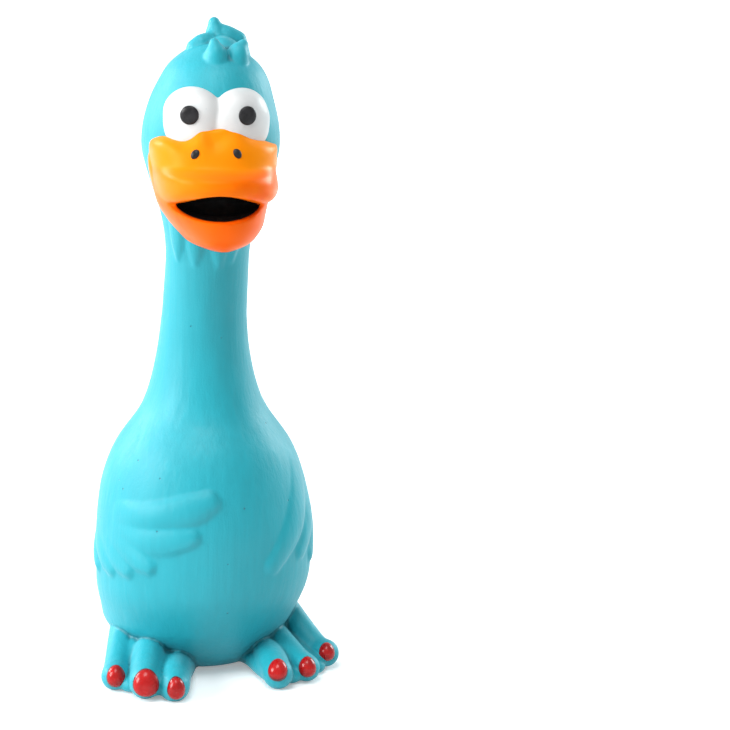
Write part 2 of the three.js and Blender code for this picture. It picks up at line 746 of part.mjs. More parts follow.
// Block of the reed assembly: its size, how far back its middle lies and its lower end
function block(width, depth, height, back, bottom) {
  const box = new THREE.BoxGeometry(width, depth, height);
  return solid(box.translate(base.x, base.y + back, bottom + height / 2));
}

// The reed stands between the flat of the trough behind it and the wedge that clamps its root
const core = tubeRadius - tubeWall - seat;
const halfGap = reedThickness / 2 + seat;
const reedBottom = barrelBottom + seat;
const coreLength = tubeLength - 2 * seat;
const coreRod = rod(core, coreLength, base.clone().setZ(reedBottom + coreLength / 2), barrelSides);

function reedTrough() {
  const behind = block(2 * core, core, coreLength, halfGap + core / 2, reedBottom);
  const slot = block(slotWidth, slotWidth, coreLength, halfGap + slotWidth / 2, reedBottom + wedgeLength);
  return coreRod.intersect(behind).subtract(slot);
}

function reedWedge() {
  return coreRod.intersect(block(2 * core, core, wedgeLength, -halfGap - core / 2, reedBottom));
}

const reedStrip = () => block(reedWidth, reedThickness, reedLength, 0, reedBottom);

// Assembly
const toySkin = new THREE.Group();
const roomForSqueaker = rod(collarRadius + seat, overrun, base, barrelSides);
toySkin.add(
  piece('belly_skin', bellySkin(), latexBlue),
  piece('belly_front', outer.subtract(inner).intersect(pressBar(pressRadius)), latexBlue),
  piece('belly_stuffing', asBelly(filling).subtract(roomForSqueaker), fibreWhite),
  piece('neck_skin', neckSkin(), latexBlue),
  piece('neck_stuffing', asNeck(filling), fibreWhite),
  piece('wing_right', wing(featherRightShares, padRightTurn, padHeightRight), latexBlue),
  piece('wing_left', wing(featherLeftShares, padLeftTurn, padHeightLeft), latexBlue),
  piece('foot_right', foot(toeRightShares), latexBlue),
  piece('foot_left', foot(toeLeftShares), latexBlue),
  piece('tail', tail(), latexBlue),
  piece('squeaker_body', squeakerBody(), squeakerPlastic),
  piece('squeaker_cap', squeakerCap(), squeakerPlastic),
  piece('reed_tube', reedTube(), squeakerPlastic),
  piece('reed_trough', reedTrough(), squeakerPlastic),
  piece('reed_wedge', reedWedge(), squeakerPlastic),
  piece('reed', reedStrip(), reedBrass),
);
toeRightShares.forEach((shares, i) => {
  toySkin.add(piece(`toenail_right_${i + 1}`, toenail(shares), paintRed));
});
toeLeftShares.forEach((shares, i) => {
  toySkin.add(piece(`toenail_left_${i + 1}`, toenail(shares), paintRed));
});

// The face is turned a little on the neck
const head = new THREE.Group();
head.add(
  piece('head_skin', asHead(outer.subtract(inner)), latexBlue),
  piece('head_stuffing', asHead(filling), fibreWhite),
  piece('crest', crest(), latexBlue),
  piece('eye_right', eye(-1), paintWhite),
  piece('eye_left', eye(1), paintWhite),
  piece('pupil_right', pupil(-1), paintBlack),
  piece('pupil_left', pupil(1), paintBlack),
  piece('upper_beak', upperBeak(), paintOrange),
  piece('nostril_right', nostril(-1), paintBlack),
  piece('nostril_left', nostril(1), paintBlack),
  piece('lower_beak', lowerBeak(), paintOrange),
  piece('mouth_lining', mouthLining(), paintBlack),
);
head.position.set(-nodCentre.x, -nodCentre.y, 0);
const headOnNeck = new THREE.Group();
headOnNeck.add(head);
headOnNeck.position.set(nodCentre.x, nodCentre.y, 0);
headOnNeck.rotation.z = headTurn;

const toy = new THREE.Group();
toy.add(toySkin, headOnNeck);
toy.position.set(-originRight, originForward, 0);

export default toy;
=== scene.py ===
# Standing long-necked bird, a squeaky dog toy in moulded and painted latex.
# Shapes are worked out in millimetres in the bird's own frame, where x = 0 is its middle, and
# brought into the frame of the model when each mesh is made.
import math

import bmesh
import bpy
import numpy as np
from mathutils import Matrix, Vector


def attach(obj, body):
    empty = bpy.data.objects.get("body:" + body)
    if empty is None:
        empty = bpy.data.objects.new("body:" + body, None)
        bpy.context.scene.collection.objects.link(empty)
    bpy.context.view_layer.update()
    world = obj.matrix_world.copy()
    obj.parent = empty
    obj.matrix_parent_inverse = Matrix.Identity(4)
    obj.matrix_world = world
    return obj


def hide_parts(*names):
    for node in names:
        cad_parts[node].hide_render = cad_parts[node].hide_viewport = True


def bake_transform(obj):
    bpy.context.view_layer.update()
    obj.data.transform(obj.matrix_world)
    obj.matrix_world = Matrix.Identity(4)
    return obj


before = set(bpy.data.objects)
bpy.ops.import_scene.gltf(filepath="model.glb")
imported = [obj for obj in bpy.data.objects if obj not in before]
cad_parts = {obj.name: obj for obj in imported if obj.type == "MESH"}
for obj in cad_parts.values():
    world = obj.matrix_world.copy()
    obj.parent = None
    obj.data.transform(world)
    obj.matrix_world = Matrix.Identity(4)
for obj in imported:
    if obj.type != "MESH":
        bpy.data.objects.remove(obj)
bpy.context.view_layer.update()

MM = 0.001
# Where the model's origin lies in the bird's own frame
ORIGIN = np.array([4.7, -1.5, 0.0])

# ---------- sizes
BASE_BACK = 6.0
BELLY_WIDEST = 42.0
BELLY_RADIUS = 38.9
BASE_RADIUS = 10.0
NECK_FOOT = 130.0
NECK_TOP = 150.0
NECK_RADIUS = 14.6
NECK_FORWARD = 4.2
HEAD_WIDEST = 190.0
HEAD_RADIUS = 23.6
HEAD_FORWARD = 7.0
HEAD_DEPTH = 1.06
CROWN_RISE = 36.0
HEAD_TURN = math.radians(-2.2)
NOD_CENTRE = np.array([0.0, -NECK_FORWARD, NECK_TOP])

SPLIT_HEIGHT = 134.0
SKIN_VOXEL = 0.6
BILL_VOXEL = 0.36
EYE_VOXEL = 0.34
FIBRE_VOXEL = 1.6
COARSER = 1


# ---------- curves
def curve_of(rows):
    """Smooth curve through [place, value] rows, level with its neighbours at the ends."""
    t = np.array([row[0] for row in rows], float)
    v = np.array([row[1] for row in rows], float)

    def evaluate(place):
        place = np.clip(np.asarray(place, float), t[0], t[-1])
        i = np.clip(np.searchsorted(t, place, side="right"), 1, len(t) - 1)
        t0, t1, v0, v1 = t[i - 1], t[i], v[i - 1], v[i]
        half = (t1 - t0) / 2
        first, last = i == 1, i == len(t) - 1
        before = np.where(first, t1, t[np.maximum(i - 2, 0)])
        after = np.where(last, t0, t[np.minimum(i + 1, len(t) - 1)])
        vp = np.where(first, v1, v[np.maximum(i - 2, 0)])
        vn = np.where(last, v0, v[np.minimum(i + 1, len(t) - 1)])
        wp, wn = half / (t0 - before), half / (after - t1)
        p = (place - t0) / (t1 - t0)
        pp = p * p
        ppp = pp * p
        return (vp * (-wp * ppp + 2 * wp * pp - wp * p)
                + v0 * ((1 + wp) * ppp + (-1.5 - 2 * wp) * pp + (-0.5 + wp) * p + 1)
                + v1 * ((-1 - wn) * ppp + (1.5 + wn) * pp + 0.5 * p)
                + vn * (wn * ppp - wn * pp))

    return evaluate


shoulder_share = curve_of([[0, 1], [0.13, 0.985], [0.26, 0.909], [0.33, 0.855], [0.4, 0.785],
                           [0.47, 0.675], [0.53, 0.527], [0.58, 0.395], [0.63, 0.29], [0.7, 0.188],
                           [0.78, 0.11], [0.87, 0.048], [1, 0]])
head_share = curve_of([[0, 0], [0.13, 0.033], [0.27, 0.122], [0.41, 0.256], [0.55, 0.467],
                       [0.68, 0.656], [0.83, 0.85], [0.93, 0.965], [1, 1]])
depth_share = curve_of([[0, 0.95], [BELLY_WIDEST, 0.95], [NECK_FOOT, 1], [NECK_TOP, 1],
                        [HEAD_WIDEST, HEAD_DEPTH], [HEAD_WIDEST + CROWN_RISE, HEAD_DEPTH]])
lean_at = curve_of([[0, -BASE_BACK], [BELLY_WIDEST, 0], [118, NECK_FORWARD / 4],
                    [NECK_TOP, NECK_FORWARD], [HEAD_WIDEST, HEAD_FORWARD],
                    [HEAD_WIDEST + CROWN_RISE, HEAD_FORWARD]])
# Small sideways shift of each section and change of its half width
shift_at = curve_of([[0, 0], [8, -0.8], [16, -1.1], [20, -0.6], [24, -0.2], [30, 0.3], [36, 0.7],
                     [44, 0.5], [55, 0.7], [67, 0.1], [85, -0.1], [97, -0.3], [110, -0.6],
                     [126, -0.7], [136, -0.5], [148, -0.2], [180, 0], [200, 0.1], [207, 0.3],
                     [213, 0.9], [219, 1.0], [226, 0.8]])
grow_at = curve_of([[0, 6.5], [1, 5.6], [3, 3.8], [7, 2.1], [12, 1.8], [16, 1.7], [20, 1.1],
                    [30, 0.9], [38, 0.3], [46, 0], [60, 0.1], [68, 0], [76, -0.5], [85, -0.9],
                    [92, -0.7], [99, -0.1], [110, 0.3], [130, 0.5], [148, 0.2], [180, 0.5],
                    [196, 0.7], [206, 0.5], [213, 0.8], [218, 1.1], [222, 0.5], [226, 0]])


def radius_at(z):
    """Half width of the body at a height, from the base to the crown."""
    z = np.asarray(z, float)
    below = np.clip(1 - z / BELLY_WIDEST, 0, 1)
    belly = BASE_RADIUS + (BELLY_RADIUS - BASE_RADIUS) * np.sqrt(1 - below ** 2)
    rise = (z - BELLY_WIDEST) / (NECK_FOOT - BELLY_WIDEST)
    shoulder = NECK_RADIUS + (BELLY_RADIUS - NECK_RADIUS) * shoulder_share(rise)
    up = (z - NECK_TOP) / (HEAD_WIDEST - NECK_TOP)
    head = NECK_RADIUS + (HEAD_RADIUS - NECK_RADIUS) * head_share(up)
    top = HEAD_RADIUS * np.sqrt(np.clip(1 - ((z - HEAD_WIDEST) / CROWN_RISE) ** 2, 0, 1))
    r = np.where(z <= BELLY_WIDEST, belly, shoulder)
    r = np.where(z > NECK_FOOT, head, r)
    return np.where(z > HEAD_WIDEST, top, r) + grow_at(z)


def on_body(turn, z):
    """Point of the body's surface at degrees from the front, towards the bird's left."""
    a, z = np.radians(np.asarray(turn, float)), np.asarray(z, float)
    r = radius_at(z)
    x = r * np.sin(a) + shift_at(z)
    y = -lean_at(z) - r * depth_share(z) * np.cos(a)
    return np.stack([x, y, z + 0 * a], axis=-1)


def smoothstep(a, b, x):
    t = np.clip((x - a) / (b - a), 0, 1)
    return t * t * (3 - 2 * t)


def circle(count):
    """Angles in a full turn."""
    return np.linspace(0, 2 * math.pi, count, endpoint=False)


# ---------- shells
def loft(rings):
    """Closed shell through rings of points, each as an (n, 3) array."""
    rings = [np.asarray(ring, float) for ring in rings]
    n = len(rings[0])
    verts = np.concatenate(rings + [[rings[0].mean(axis=0)], [rings[-1].mean(axis=0)]])
    faces = []
    for i in range(len(rings) - 1):
        for j in range(n):
            k = (j + 1) % n
            faces.append((i * n + j, i * n + k, (i + 1) * n + k, (i + 1) * n + j))
    start, end = len(verts) - 2, len(verts) - 1
    last = (len(rings) - 1) * n
    for j in range(n):
        k = (j + 1) % n
        faces.append((start, k, j))
        faces.append((end, last + j, last + k))
    return verts, faces


def spline(points, count):
    """Points along a smooth curve through the given ones, with their values beside them."""
    points = np.asarray(points, float)
    if len(points) == 2:
        t = np.linspace(0, 1, count)[:, None]
        return points[0] * (1 - t) + points[1] * t
    ext = np.concatenate([[2 * points[0] - points[1]], points, [2 * points[-1] - points[-2]]])
    out = []
    spans = len(points) - 1
    for u in np.linspace(0, spans, count):
        i = min(int(u), spans - 1)
        p = u - i
        a, b, c, d = ext[i], ext[i + 1], ext[i + 2], ext[i + 3]
        out.append(0.5 * (2 * b + (c - a) * p + (2 * a - 5 * b + 4 * c - d) * p * p
                          + (3 * b - a - 3 * c + d) * p ** 3))
    return np.array(out)


LIMB_SIDES, LIMB_STEPS, LIMB_LEAST_RADIUS = 20, 26, 0.2
# Places of the rings that round a limb's ends
CAP_ANGLES = [math.radians(a) for a in (17, 35, 55, 75)]


def limb(points, radii, up=(0, 0, 1), flat=1.0):
    """Round-ended limb: points with a radius each, flattened along up."""
    rows = spline([list(p) + [r] for p, r in zip(points, radii)], LIMB_STEPS)
    path, radius = rows[:, :3], np.maximum(rows[:, 3], LIMB_LEAST_RADIUS)
    along = np.gradient(path, axis=0)
    along /= np.linalg.norm(along, axis=1)[:, None]
    up = np.asarray(up, float)
    turns = circle(LIMB_SIDES)
    places = ([(0, -a) for a in reversed(CAP_ANGLES)] + [(i, 0) for i in range(LIMB_STEPS)]
              + [(-1, a) for a in CAP_ANGLES])
    rings = []
    for i, a in places:
        way, r = along[i], radius[i] * math.cos(a)
        side = np.cross(up, way)
        side /= np.linalg.norm(side)
        rise = np.cross(way, side)
        rings.append(path[i] + way * radius[i] * math.sin(a) + np.outer(np.cos(turns), side) * r
                     + np.outer(np.sin(turns), rise) * r * flat)
    return loft(rings)


def ellipsoid(centre, radii, sides=40, rows=24):
    rings = []
    turns = circle(sides)
    for a in np.radians(np.linspace(-84, 84, rows)):
        rings.append(np.stack([np.cos(turns) * math.cos(a), np.sin(turns) * math.cos(a),
                               np.full(sides, math.sin(a))], axis=1) * radii)
    verts, faces = loft(rings)
    verts[-2] = np.array([0, 0, -1]) * radii
    verts[-1] = np.array([0, 0, 1]) * radii
    return verts + centre, faces


def turn_head(points):
    """Points of the head's own frame, turned on the neck."""
    move = np.array(Matrix.Rotation(HEAD_TURN, 3, "Z"))
    return (np.asarray(points) - NOD_CENTRE) @ move.T + NOD_CENTRE


# ---------- meshes
def volume(verts, faces):
    """Volume of a closed shell of triangles and quads, below zero where it is inside out."""
    total = 0.0
    for sides in (3, 4):
        index = np.array([face for face in faces if len(face) == sides])
        if not len(index):
            continue
        for k in range(1, sides - 1):
            a, b, c = verts[index[:, 0]], verts[index[:, k]], verts[index[:, k + 1]]
            total += float(np.einsum("ij,ij->", a, np.cross(b, c)))
    return total / 6


def make(name, shells, material=None):
    """Object from shells in the bird's millimetres, each with its faces looking out."""
    verts, faces, base = [], [], 0
    for v, f in shells:
        v = np.asarray(v, float)
        inside_out = volume(v - v.mean(axis=0), f) < 0
        verts.append(v)
        faces.extend(tuple(i + base for i in (face[::-1] if inside_out else face)) for face in f)
        base += len(v)
    mesh = bpy.data.meshes.new(name)
    mesh.from_pydata(((np.concatenate(verts) - ORIGIN) * MM).tolist(), [], faces)
    return add(name, mesh, material)


def paint(obj, material):
    obj.data.materials.clear()
    obj.data.materials.append(material)


def new_object(name, data):
    obj = bpy.data.objects.new(name, data)
    bpy.context.scene.collection.objects.link(obj)
    return obj


def add(name, mesh, material=None, smooth=True):
    mesh.name = name
    obj = new_object(name, mesh)
    if smooth:
        mesh.shade_smooth()
    if material:
        paint(obj, material)
    return obj


def apply_modifiers(obj):
    depsgraph = bpy.context.evaluated_depsgraph_get()
    mesh = bpy.data.meshes.new_from_object(obj.evaluated_get(depsgraph))
    obj.modifiers.clear()
    old = obj.data
    obj.data = mesh
    bpy.data.meshes.remove(old)
    obj.data.name = obj.name


def remesh(obj, voxel):
    """Melt an object's shells into one closed surface."""
    modifier = obj.modifiers.new("voxels", "REMESH")
    modifier.mode = "VOXEL"
    modifier.voxel_size = voxel * MM
    modifier.use_smooth_shade = True
    apply_modifiers(obj)


def read(rows, field):
    out = np.empty(len(rows) * 3, np.float32)
    rows.foreach_get(field, out)
    return out.reshape(-1, 3).astype(float)


def coordinates(mesh):
    """Vertices in the bird's millimetres."""
    return read(mesh.vertices, "co") / MM + ORIGIN


def place(mesh, co):
    mesh.vertices.foreach_set("co", ((co - ORIGIN) * MM).astype(np.float32).ravel())
    mesh.update()


def normals(mesh):
    return read(mesh.vertex_normals, "vector")


class Neighbours:
    """Means over the vertices that a mesh's edges join to each vertex."""

    def __init__(self, mesh):
        edges = np.empty(len(mesh.edges) * 2, np.int32)
        mesh.edges.foreach_get("vertices", edges)
        self.a, self.b, self.n = edges[0::2], edges[1::2], len(mesh.vertices)
        self.count = np.maximum(np.bincount(self.a, minlength=self.n)
                                + np.bincount(self.b, minlength=self.n), 1)

    def mean(self, values):
        total = (np.bincount(self.a, values[self.b], self.n)
                 + np.bincount(self.b, values[self.a], self.n))
        return total / self.count


def relax(mesh, co, rounds, weight=None):
    """Rounds of smoothing halfway to the neighbours' mean, or less by a weight per vertex."""
    near = Neighbours(mesh)
    for _ in range(rounds):
        step = (np.stack([near.mean(co[:, k]) for k in range(3)], axis=1) - co) * 0.5
        co = co + (step if weight is None else step * weight[:, None])
    return co


def spread(mesh, values, rounds):
    """Values of the vertices, passed on to their neighbours."""
    near = Neighbours(mesh)
    for _ in range(rounds):
        values = near.mean(values)
    return values


def smooth(obj, rounds):
    place(obj.data, relax(obj.data, coordinates(obj.data), rounds))


# ---------- materials
class Nodes:
    """Small helper that adds and links the nodes of a new material, or of a world."""

    def __init__(self, name, world=None, **settings):
        self.owner = world or bpy.data.materials.new(name)
        self.owner.use_nodes = True
        self.tree = self.owner.node_tree
        self.shader = self.tree.nodes["Background" if world else "Principled BSDF"]
        for key, value in settings.items():
            self.shader.inputs[key.replace("_", " ")].default_value = value
        self.place = None if world else self.node("ShaderNodeTexCoord").outputs["Object"]

    def node(self, kind, inputs=None, **fields):
        node = self.tree.nodes.new(kind)
        for key, value in fields.items():
            setattr(node, key, value)
        for key, value in (inputs or {}).items():
            if isinstance(value, bpy.types.NodeSocket):
                self.tree.links.new(value, node.inputs[key])
            else:
                node.inputs[key].default_value = value
        return node

    def stretched(self, scale):
        return self.node("ShaderNodeMapping", {"Vector": self.place, "Scale": scale}).outputs[0]

    def noise(self, scale, detail=2.0, rough=0.5, vector=None, warp=0.0):
        return self.node("ShaderNodeTexNoise", {
            "Vector": vector or self.place, "Scale": scale, "Detail": detail,
            "Roughness": rough, "Distortion": warp}).outputs["Fac"]

    def cells(self, scale):
        return self.node("ShaderNodeTexVoronoi", {"Vector": self.place, "Scale": scale}).outputs

    def attribute(self, name):
        return self.node("ShaderNodeAttribute", attribute_name=name).outputs["Fac"]

    def between(self, value, low, high, to_low=0.0, to_high=1.0):
        """Value brought smoothly from the range low to high to the other one."""
        return self.node("ShaderNodeMapRange", {
            "Value": value, "From Min": low, "From Max": high, "To Min": to_low, "To Max": to_high},
            interpolation_type="SMOOTHSTEP").outputs[0]

    def math(self, how, a, b=0.0):
        return self.node("ShaderNodeMath", {0: a, 1: b}, operation=how).outputs[0]

    def times(self, a, b):
        return self.math("MULTIPLY", a, b)

    def plus(self, a, b):
        return self.math("ADD", a, b)

    def seen(self):
        """1 where the camera looks, or what it sees reflected or through glass, and 0 elsewhere."""
        path = self.node("ShaderNodeLightPath").outputs
        return self.math("MAXIMUM", self.math("MAXIMUM", path["Is Camera Ray"],
                                              path["Is Glossy Ray"]), path["Is Transmission Ray"])

    def mix(self, share, a, b):
        return self.node("ShaderNodeMix", {0: share, 6: a, 7: b}, data_type="RGBA").outputs[2]

    def link(self, name, value):
        self.tree.links.new(value, self.shader.inputs[name])

    def finish(self, colour, roughness, height, distance, strength):
        """The material with its colour, its roughness and bumps of a height."""
        self.link("Base Color", colour)
        self.link("Roughness", roughness)
        self.link("Normal", self.node("ShaderNodeBump", {
            "Height": height, "Distance": distance, "Strength": strength}).outputs[0])
        return self.owner


def latex():
    """Matt blue latex with fine upright streaks, a few pits, and painted shade that darkens its
    creases.
    """
    m = Nodes("latex_blue_skin", Specular_IOR_Level=0.5, Sheen_Weight=0.1, Sheen_Roughness=0.45)
    streaks = m.noise(1.0, 3.0, 0.55, m.stretched((420, 420, 34)))
    clouds = m.noise(28.0)
    base = m.mix(m.between(streaks, 0.3, 0.7), (0.004, 0.33, 0.408, 1), (0.005, 0.352, 0.435, 1))
    base = m.mix(m.between(clouds, 0.35, 0.7, 0, 0.35), base, (0.003, 0.305, 0.378, 1))
    cells = m.cells(170.0)
    pick = m.node("ShaderNodeSeparateColor", {0: cells["Color"]}).outputs[0]
    hole = m.between(cells["Distance"], 0.04, 0.075, 1, 0)
    pit = m.times(hole, m.math("GREATER_THAN", pick, 0.6))
    base = m.mix(m.times(pit, 0.8), base, (0.012, 0.15, 0.20, 1))
    # Painted shade: the skin turns dark blue in its creases, as far as the marked crease depth
    # reaches
    base = m.mix(m.between(m.attribute("crease"), 0.3, 1.0, 0, 0.75), base, (0.004, 0.13, 0.17, 1))
    grain = m.noise(1500.0, 2.0, 0.6)
    lumps = m.noise(160.0)
    uneven = m.plus(m.times(grain, 0.5), m.times(clouds, 0.5))
    rough = m.between(uneven, 0.3, 0.7, 0.46, 0.6)
    height = m.plus(m.times(streaks, 1.3), m.times(grain, 0.35))
    height = m.plus(height, m.times(lumps, 0.7))
    height = m.math("SUBTRACT", height, m.times(pit, 1.6))
    return m.finish(base, rough, height, 0.00024, 0.65)


# Heights in metres between which the bill's paint turns redder, on the lip and on the lower bill.
# On the lip the red is partly the lip's own paint and partly painted shade in the crease above its
# roll
LIP_TOP, LIP_LOW = 0.1862, 0.1828
MOUTH_TOP, MOUTH_LOW = 0.176, 0.171
SPOTS_TOP, SPOTS_LOW = 0.186, 0.176


def bill_paint():
    """Paint that goes from yellow at the bird's right to orange, and to red below, where the lip's
    red also holds painted shade of the crease above its roll.
    """
    m = Nodes("bill_orange_paint", Specular_IOR_Level=0.2, Specular_Tint=(1, 0.62, 0.22, 1))
    x, _, z = m.node("ShaderNodeSeparateXYZ", {0: m.place}).outputs
    warp = m.noise(60.0)
    across = m.plus(x, m.times(m.math("SUBTRACT", warp, 0.5), 0.012))
    yellow, orange, red = (0.94, 0.24, 0.004, 1), (0.94, 0.27, 0.002, 1), (0.94, 0.115, 0.001, 1)
    base = m.mix(m.between(across, -0.022, 0.014), yellow, orange)
    # Painted shade and the lip's redder paint: redder from the crease above the lip's roll
    # downwards, most towards the bird's left, away from the key lamp
    lip = m.times(m.between(z, LIP_TOP, LIP_LOW), m.between(across, -0.02, 0.008, 0.4, 1))
    base = m.mix(m.times(lip, 0.75), base, red)
    base = m.mix(m.between(z, MOUTH_TOP, MOUTH_LOW, 0, 0.85), base, red)
    spots = m.noise(95.0)
    low = m.times(m.between(spots, 0.52, 0.7), m.between(z, SPOTS_TOP, SPOTS_LOW))
    base = m.mix(m.times(low, 0.5), base, (0.93, 0.09, 0.001, 1))
    fine = m.noise(700.0)
    rough = m.between(m.noise(120.0, 3.0, 0.5), 0.3, 0.7, 0.3, 0.42)
    height = m.plus(m.noise(130.0), m.times(fine, 0.12))
    return m.finish(base, rough, height, 0.00012, 0.5)


def nail_paint():
    """Glossy red paint, darkened at the nail's rim by painted shade where the nail meets the toe.
    """
    m = Nodes("toenail_red_paint", Specular_IOR_Level=0.22, Coat_Weight=0.2, Coat_Roughness=0.14)
    base = m.mix(m.between(m.noise(210.0), 0.35, 0.7), (0.46, 0.004, 0.004, 1),
                 (0.31, 0.003, 0.003, 1))
    # Painted shade: near-black red at the rim, where the nail meets the toe
    base = m.mix(m.between(m.attribute("rim"), 0.3, 0.12), base, (0.09, 0.004, 0.008, 1))
    rough = m.between(m.noise(400.0), 0.3, 0.7, 0.2, 0.32)
    return m.finish(base, rough, m.noise(320.0), 0.0002, 0.7)


def eye_paint():
    m = Nodes("eye_white_paint", Specular_IOR_Level=0.3)
    blotch = m.noise(110.0, 3.0, 0.6)
    base = m.mix(m.between(blotch, 0.5, 0.72, 0, 0.6),
                 (0.67, 0.685, 0.685, 1), (0.59, 0.65, 0.66, 1))
    speck = m.between(m.cells(240.0)["Distance"], 0.05, 0.1, 0.35, 0)
    base = m.mix(speck, base, (0.5, 0.6, 0.62, 1))
    rough = m.between(m.noise(260.0), 0.3, 0.7, 0.32, 0.46)
    return m.finish(base, rough, m.noise(240.0, 3.0, 0.5), 0.0001, 0.5)


def black_paint(name="pupil_black_paint", rough_low=0.3, rough_high=0.42, shine=0.22, tone=1.0):
    m = Nodes(name, Specular_IOR_Level=shine)
    base = m.mix(m.between(m.noise(300.0, 3.0, 0.6), 0.35, 0.7),
                 (0.006 * tone, 0.006 * tone, 0.007 * tone, 1),
                 (0.018 * tone, 0.018 * tone, 0.02 * tone, 1))
    rough = m.between(m.noise(500.0), 0.3, 0.7, rough_low, rough_high)
    return m.finish(base, rough, m.noise(600.0), 0.00008, 0.5)


def fibre():
    m = Nodes("polyester_fibre", Specular_IOR_Level=0.3, Sheen_Weight=0.3)
    strands = m.noise(1.0, 6.0, 0.7, m.stretched((700, 260, 1300)), 1.5)
    base = m.mix(m.between(strands, 0.35, 0.65), (0.72, 0.72, 0.70, 1), (0.88, 0.88, 0.86, 1))
    rough = m.between(strands, 0.3, 0.7, 0.8, 0.95)
    return m.finish(base, rough, strands, 0.0008, 0.8)


def plastic():
    m = Nodes("squeaker_plastic_pale", Specular_IOR_Level=0.5)
    base = m.mix(m.between(m.noise(180.0, 3.0, 0.5), 0.3, 0.7),
                 (0.74, 0.74, 0.71, 1), (0.82, 0.82, 0.79, 1))
    rough = m.between(m.noise(900.0), 0.3, 0.7, 0.3, 0.44)
    return m.finish(base, rough, m.noise(1400.0), 0.00004, 0.5)


def brass():
    m = Nodes("reed_brass_strip", Metallic=1.0)
    lines = m.noise(1.0, 3.0, 0.6, m.stretched((3000, 3000, 120)))
    base = m.mix(m.between(lines, 0.3, 0.7), (0.62, 0.40, 0.13, 1), (0.74, 0.52, 0.20, 1))
    return m.finish(base, m.between(lines, 0.3, 0.7, 0.22, 0.36), lines, 0.00003, 0.5)


LATEX = latex()
ORANGE = bill_paint()
RED = nail_paint()
WHITE = eye_paint()
BLACK = black_paint()
MOUTH_BLACK = black_paint("mouth_black_paint", 0.6, 0.8, shine=0.1, tone=0.3)
FIBRE = fibre()
PLASTIC = plastic()
BRASS = brass()

# ---------- skin
TURNS = np.linspace(0, 360, 128, endpoint=False)
# Radius and height along the squeaker's stepped hole, from its inner end to the base
SQUEAKER_HOLE = ((9.4, 17.0), (9.4, 11.0), (9.4, 5.2), (5.8, 4.7), (5.75, 2.4), (5.75, 0.5),
                 (6.1, 0.05), (8.0, 0.0))


def body_shell():
    """Whole body, with the hole of the squeaker in its base."""
    a = np.radians(TURNS)

    def ring(r, z):
        return np.stack([r * np.sin(a), BASE_BACK - r * np.cos(a), np.full(len(a), z)], axis=1)

    rings = [ring(r, z) for r, z in SQUEAKER_HOLE]
    below, above = np.radians(np.linspace(4, 90, 26)), np.radians(np.linspace(1, 88, 30))
    heights = np.concatenate([BELLY_WIDEST * (1 - np.cos(below)),
                              np.arange(BELLY_WIDEST + 2.5, HEAD_WIDEST, 2.4),
                              HEAD_WIDEST + CROWN_RISE * np.sin(above)])
    rings += [on_body(TURNS, np.full(len(TURNS), z)) for z in heights]
    return loft(rings)


def floor_point(turn, reach, z):
    a = math.radians(turn)
    return np.array([reach * math.sin(a), -reach * math.cos(a), z])


FOOT_REACH = 50.0
TOE_RADIUS = 5.4
TOE_ROOT = 11.5
# Turns of a toe's root and tip from the front, in degrees to the bird's left, with their distances,
# the root's height and the thickness as shares. Where given, start and full are the thickness at
# the root and in the middle, and lift is the middle's height, also as shares. Then come the nail's
# half sizes, and its place on the tip in degrees to the bird's left and up
TOES = {
    "right_1": dict(root=-74, root_reach=0.97, rise=1.0, tip=-45, reach=1.02, size=0.9,
                    start=1.12, nail=(3.4, 4.0), aim=(16, 22)),
    "right_2": dict(root=-53, root_reach=0.84, rise=0.88, tip=-29, reach=1.08, size=1.08,
                    nail=(4.6, 5.0), aim=(5, 18)),
    "right_3": dict(root=-39, root_reach=0.74, rise=0.14, tip=-18, reach=1.05, size=1.0,
                    start=1.32, full=1.08, lift=0.92, nail=(3.2, 4.1), aim=(9, 13)),
    "left_1": dict(root=63, root_reach=0.84, rise=0.6, tip=28, reach=0.97, size=1.0,
                   nail=(3.5, 4.2), aim=(-16, 42)),
    "left_2": dict(root=68, root_reach=0.88, rise=0.95, tip=45, reach=1.01, size=0.92,
                   nail=(3.2, 3.8), aim=(-28, 25)),
    "left_3": dict(root=84, root_reach=0.94, rise=1.46, tip=65, reach=1.02, size=0.94,
                   start=0.9, full=0.98, lift=1.3, nail=(3.0, 3.5), aim=(-40, 26)),
}
# Heights of a web's root and middle as shares, for the two webs of each foot, and its radii
WEBS = {"right": ((1.12, 0.6), (1.3, 0.85)), "left": ((0.7, 0.6), (0.7, 0.6))}
WEB_RADII = [5.2, 4.8, 4.2]
# The low web on the inner side of the bird's left foot
LEFT_HEEL = [(14, -5, 3.8), (17.8, -14, 4.0), (20.2, -26, 3.7), (21.6, -35, 3.8)]
LEFT_HEEL_RADII = [5.0, 5.0, 4.8, 4.2]


def toe_points(toe):
    r = TOE_RADIUS * toe["size"]
    rise = TOE_ROOT * toe["rise"]
    root = floor_point(toe["root"], float(radius_at(rise)) * toe["root_reach"], rise)
    tip = floor_point(toe["tip"], FOOT_REACH * toe["reach"], r * 0.8)
    middle = root + (tip - root) * 0.55
    middle[2] = r * toe.get("lift", 1.15)
    return root, middle, tip


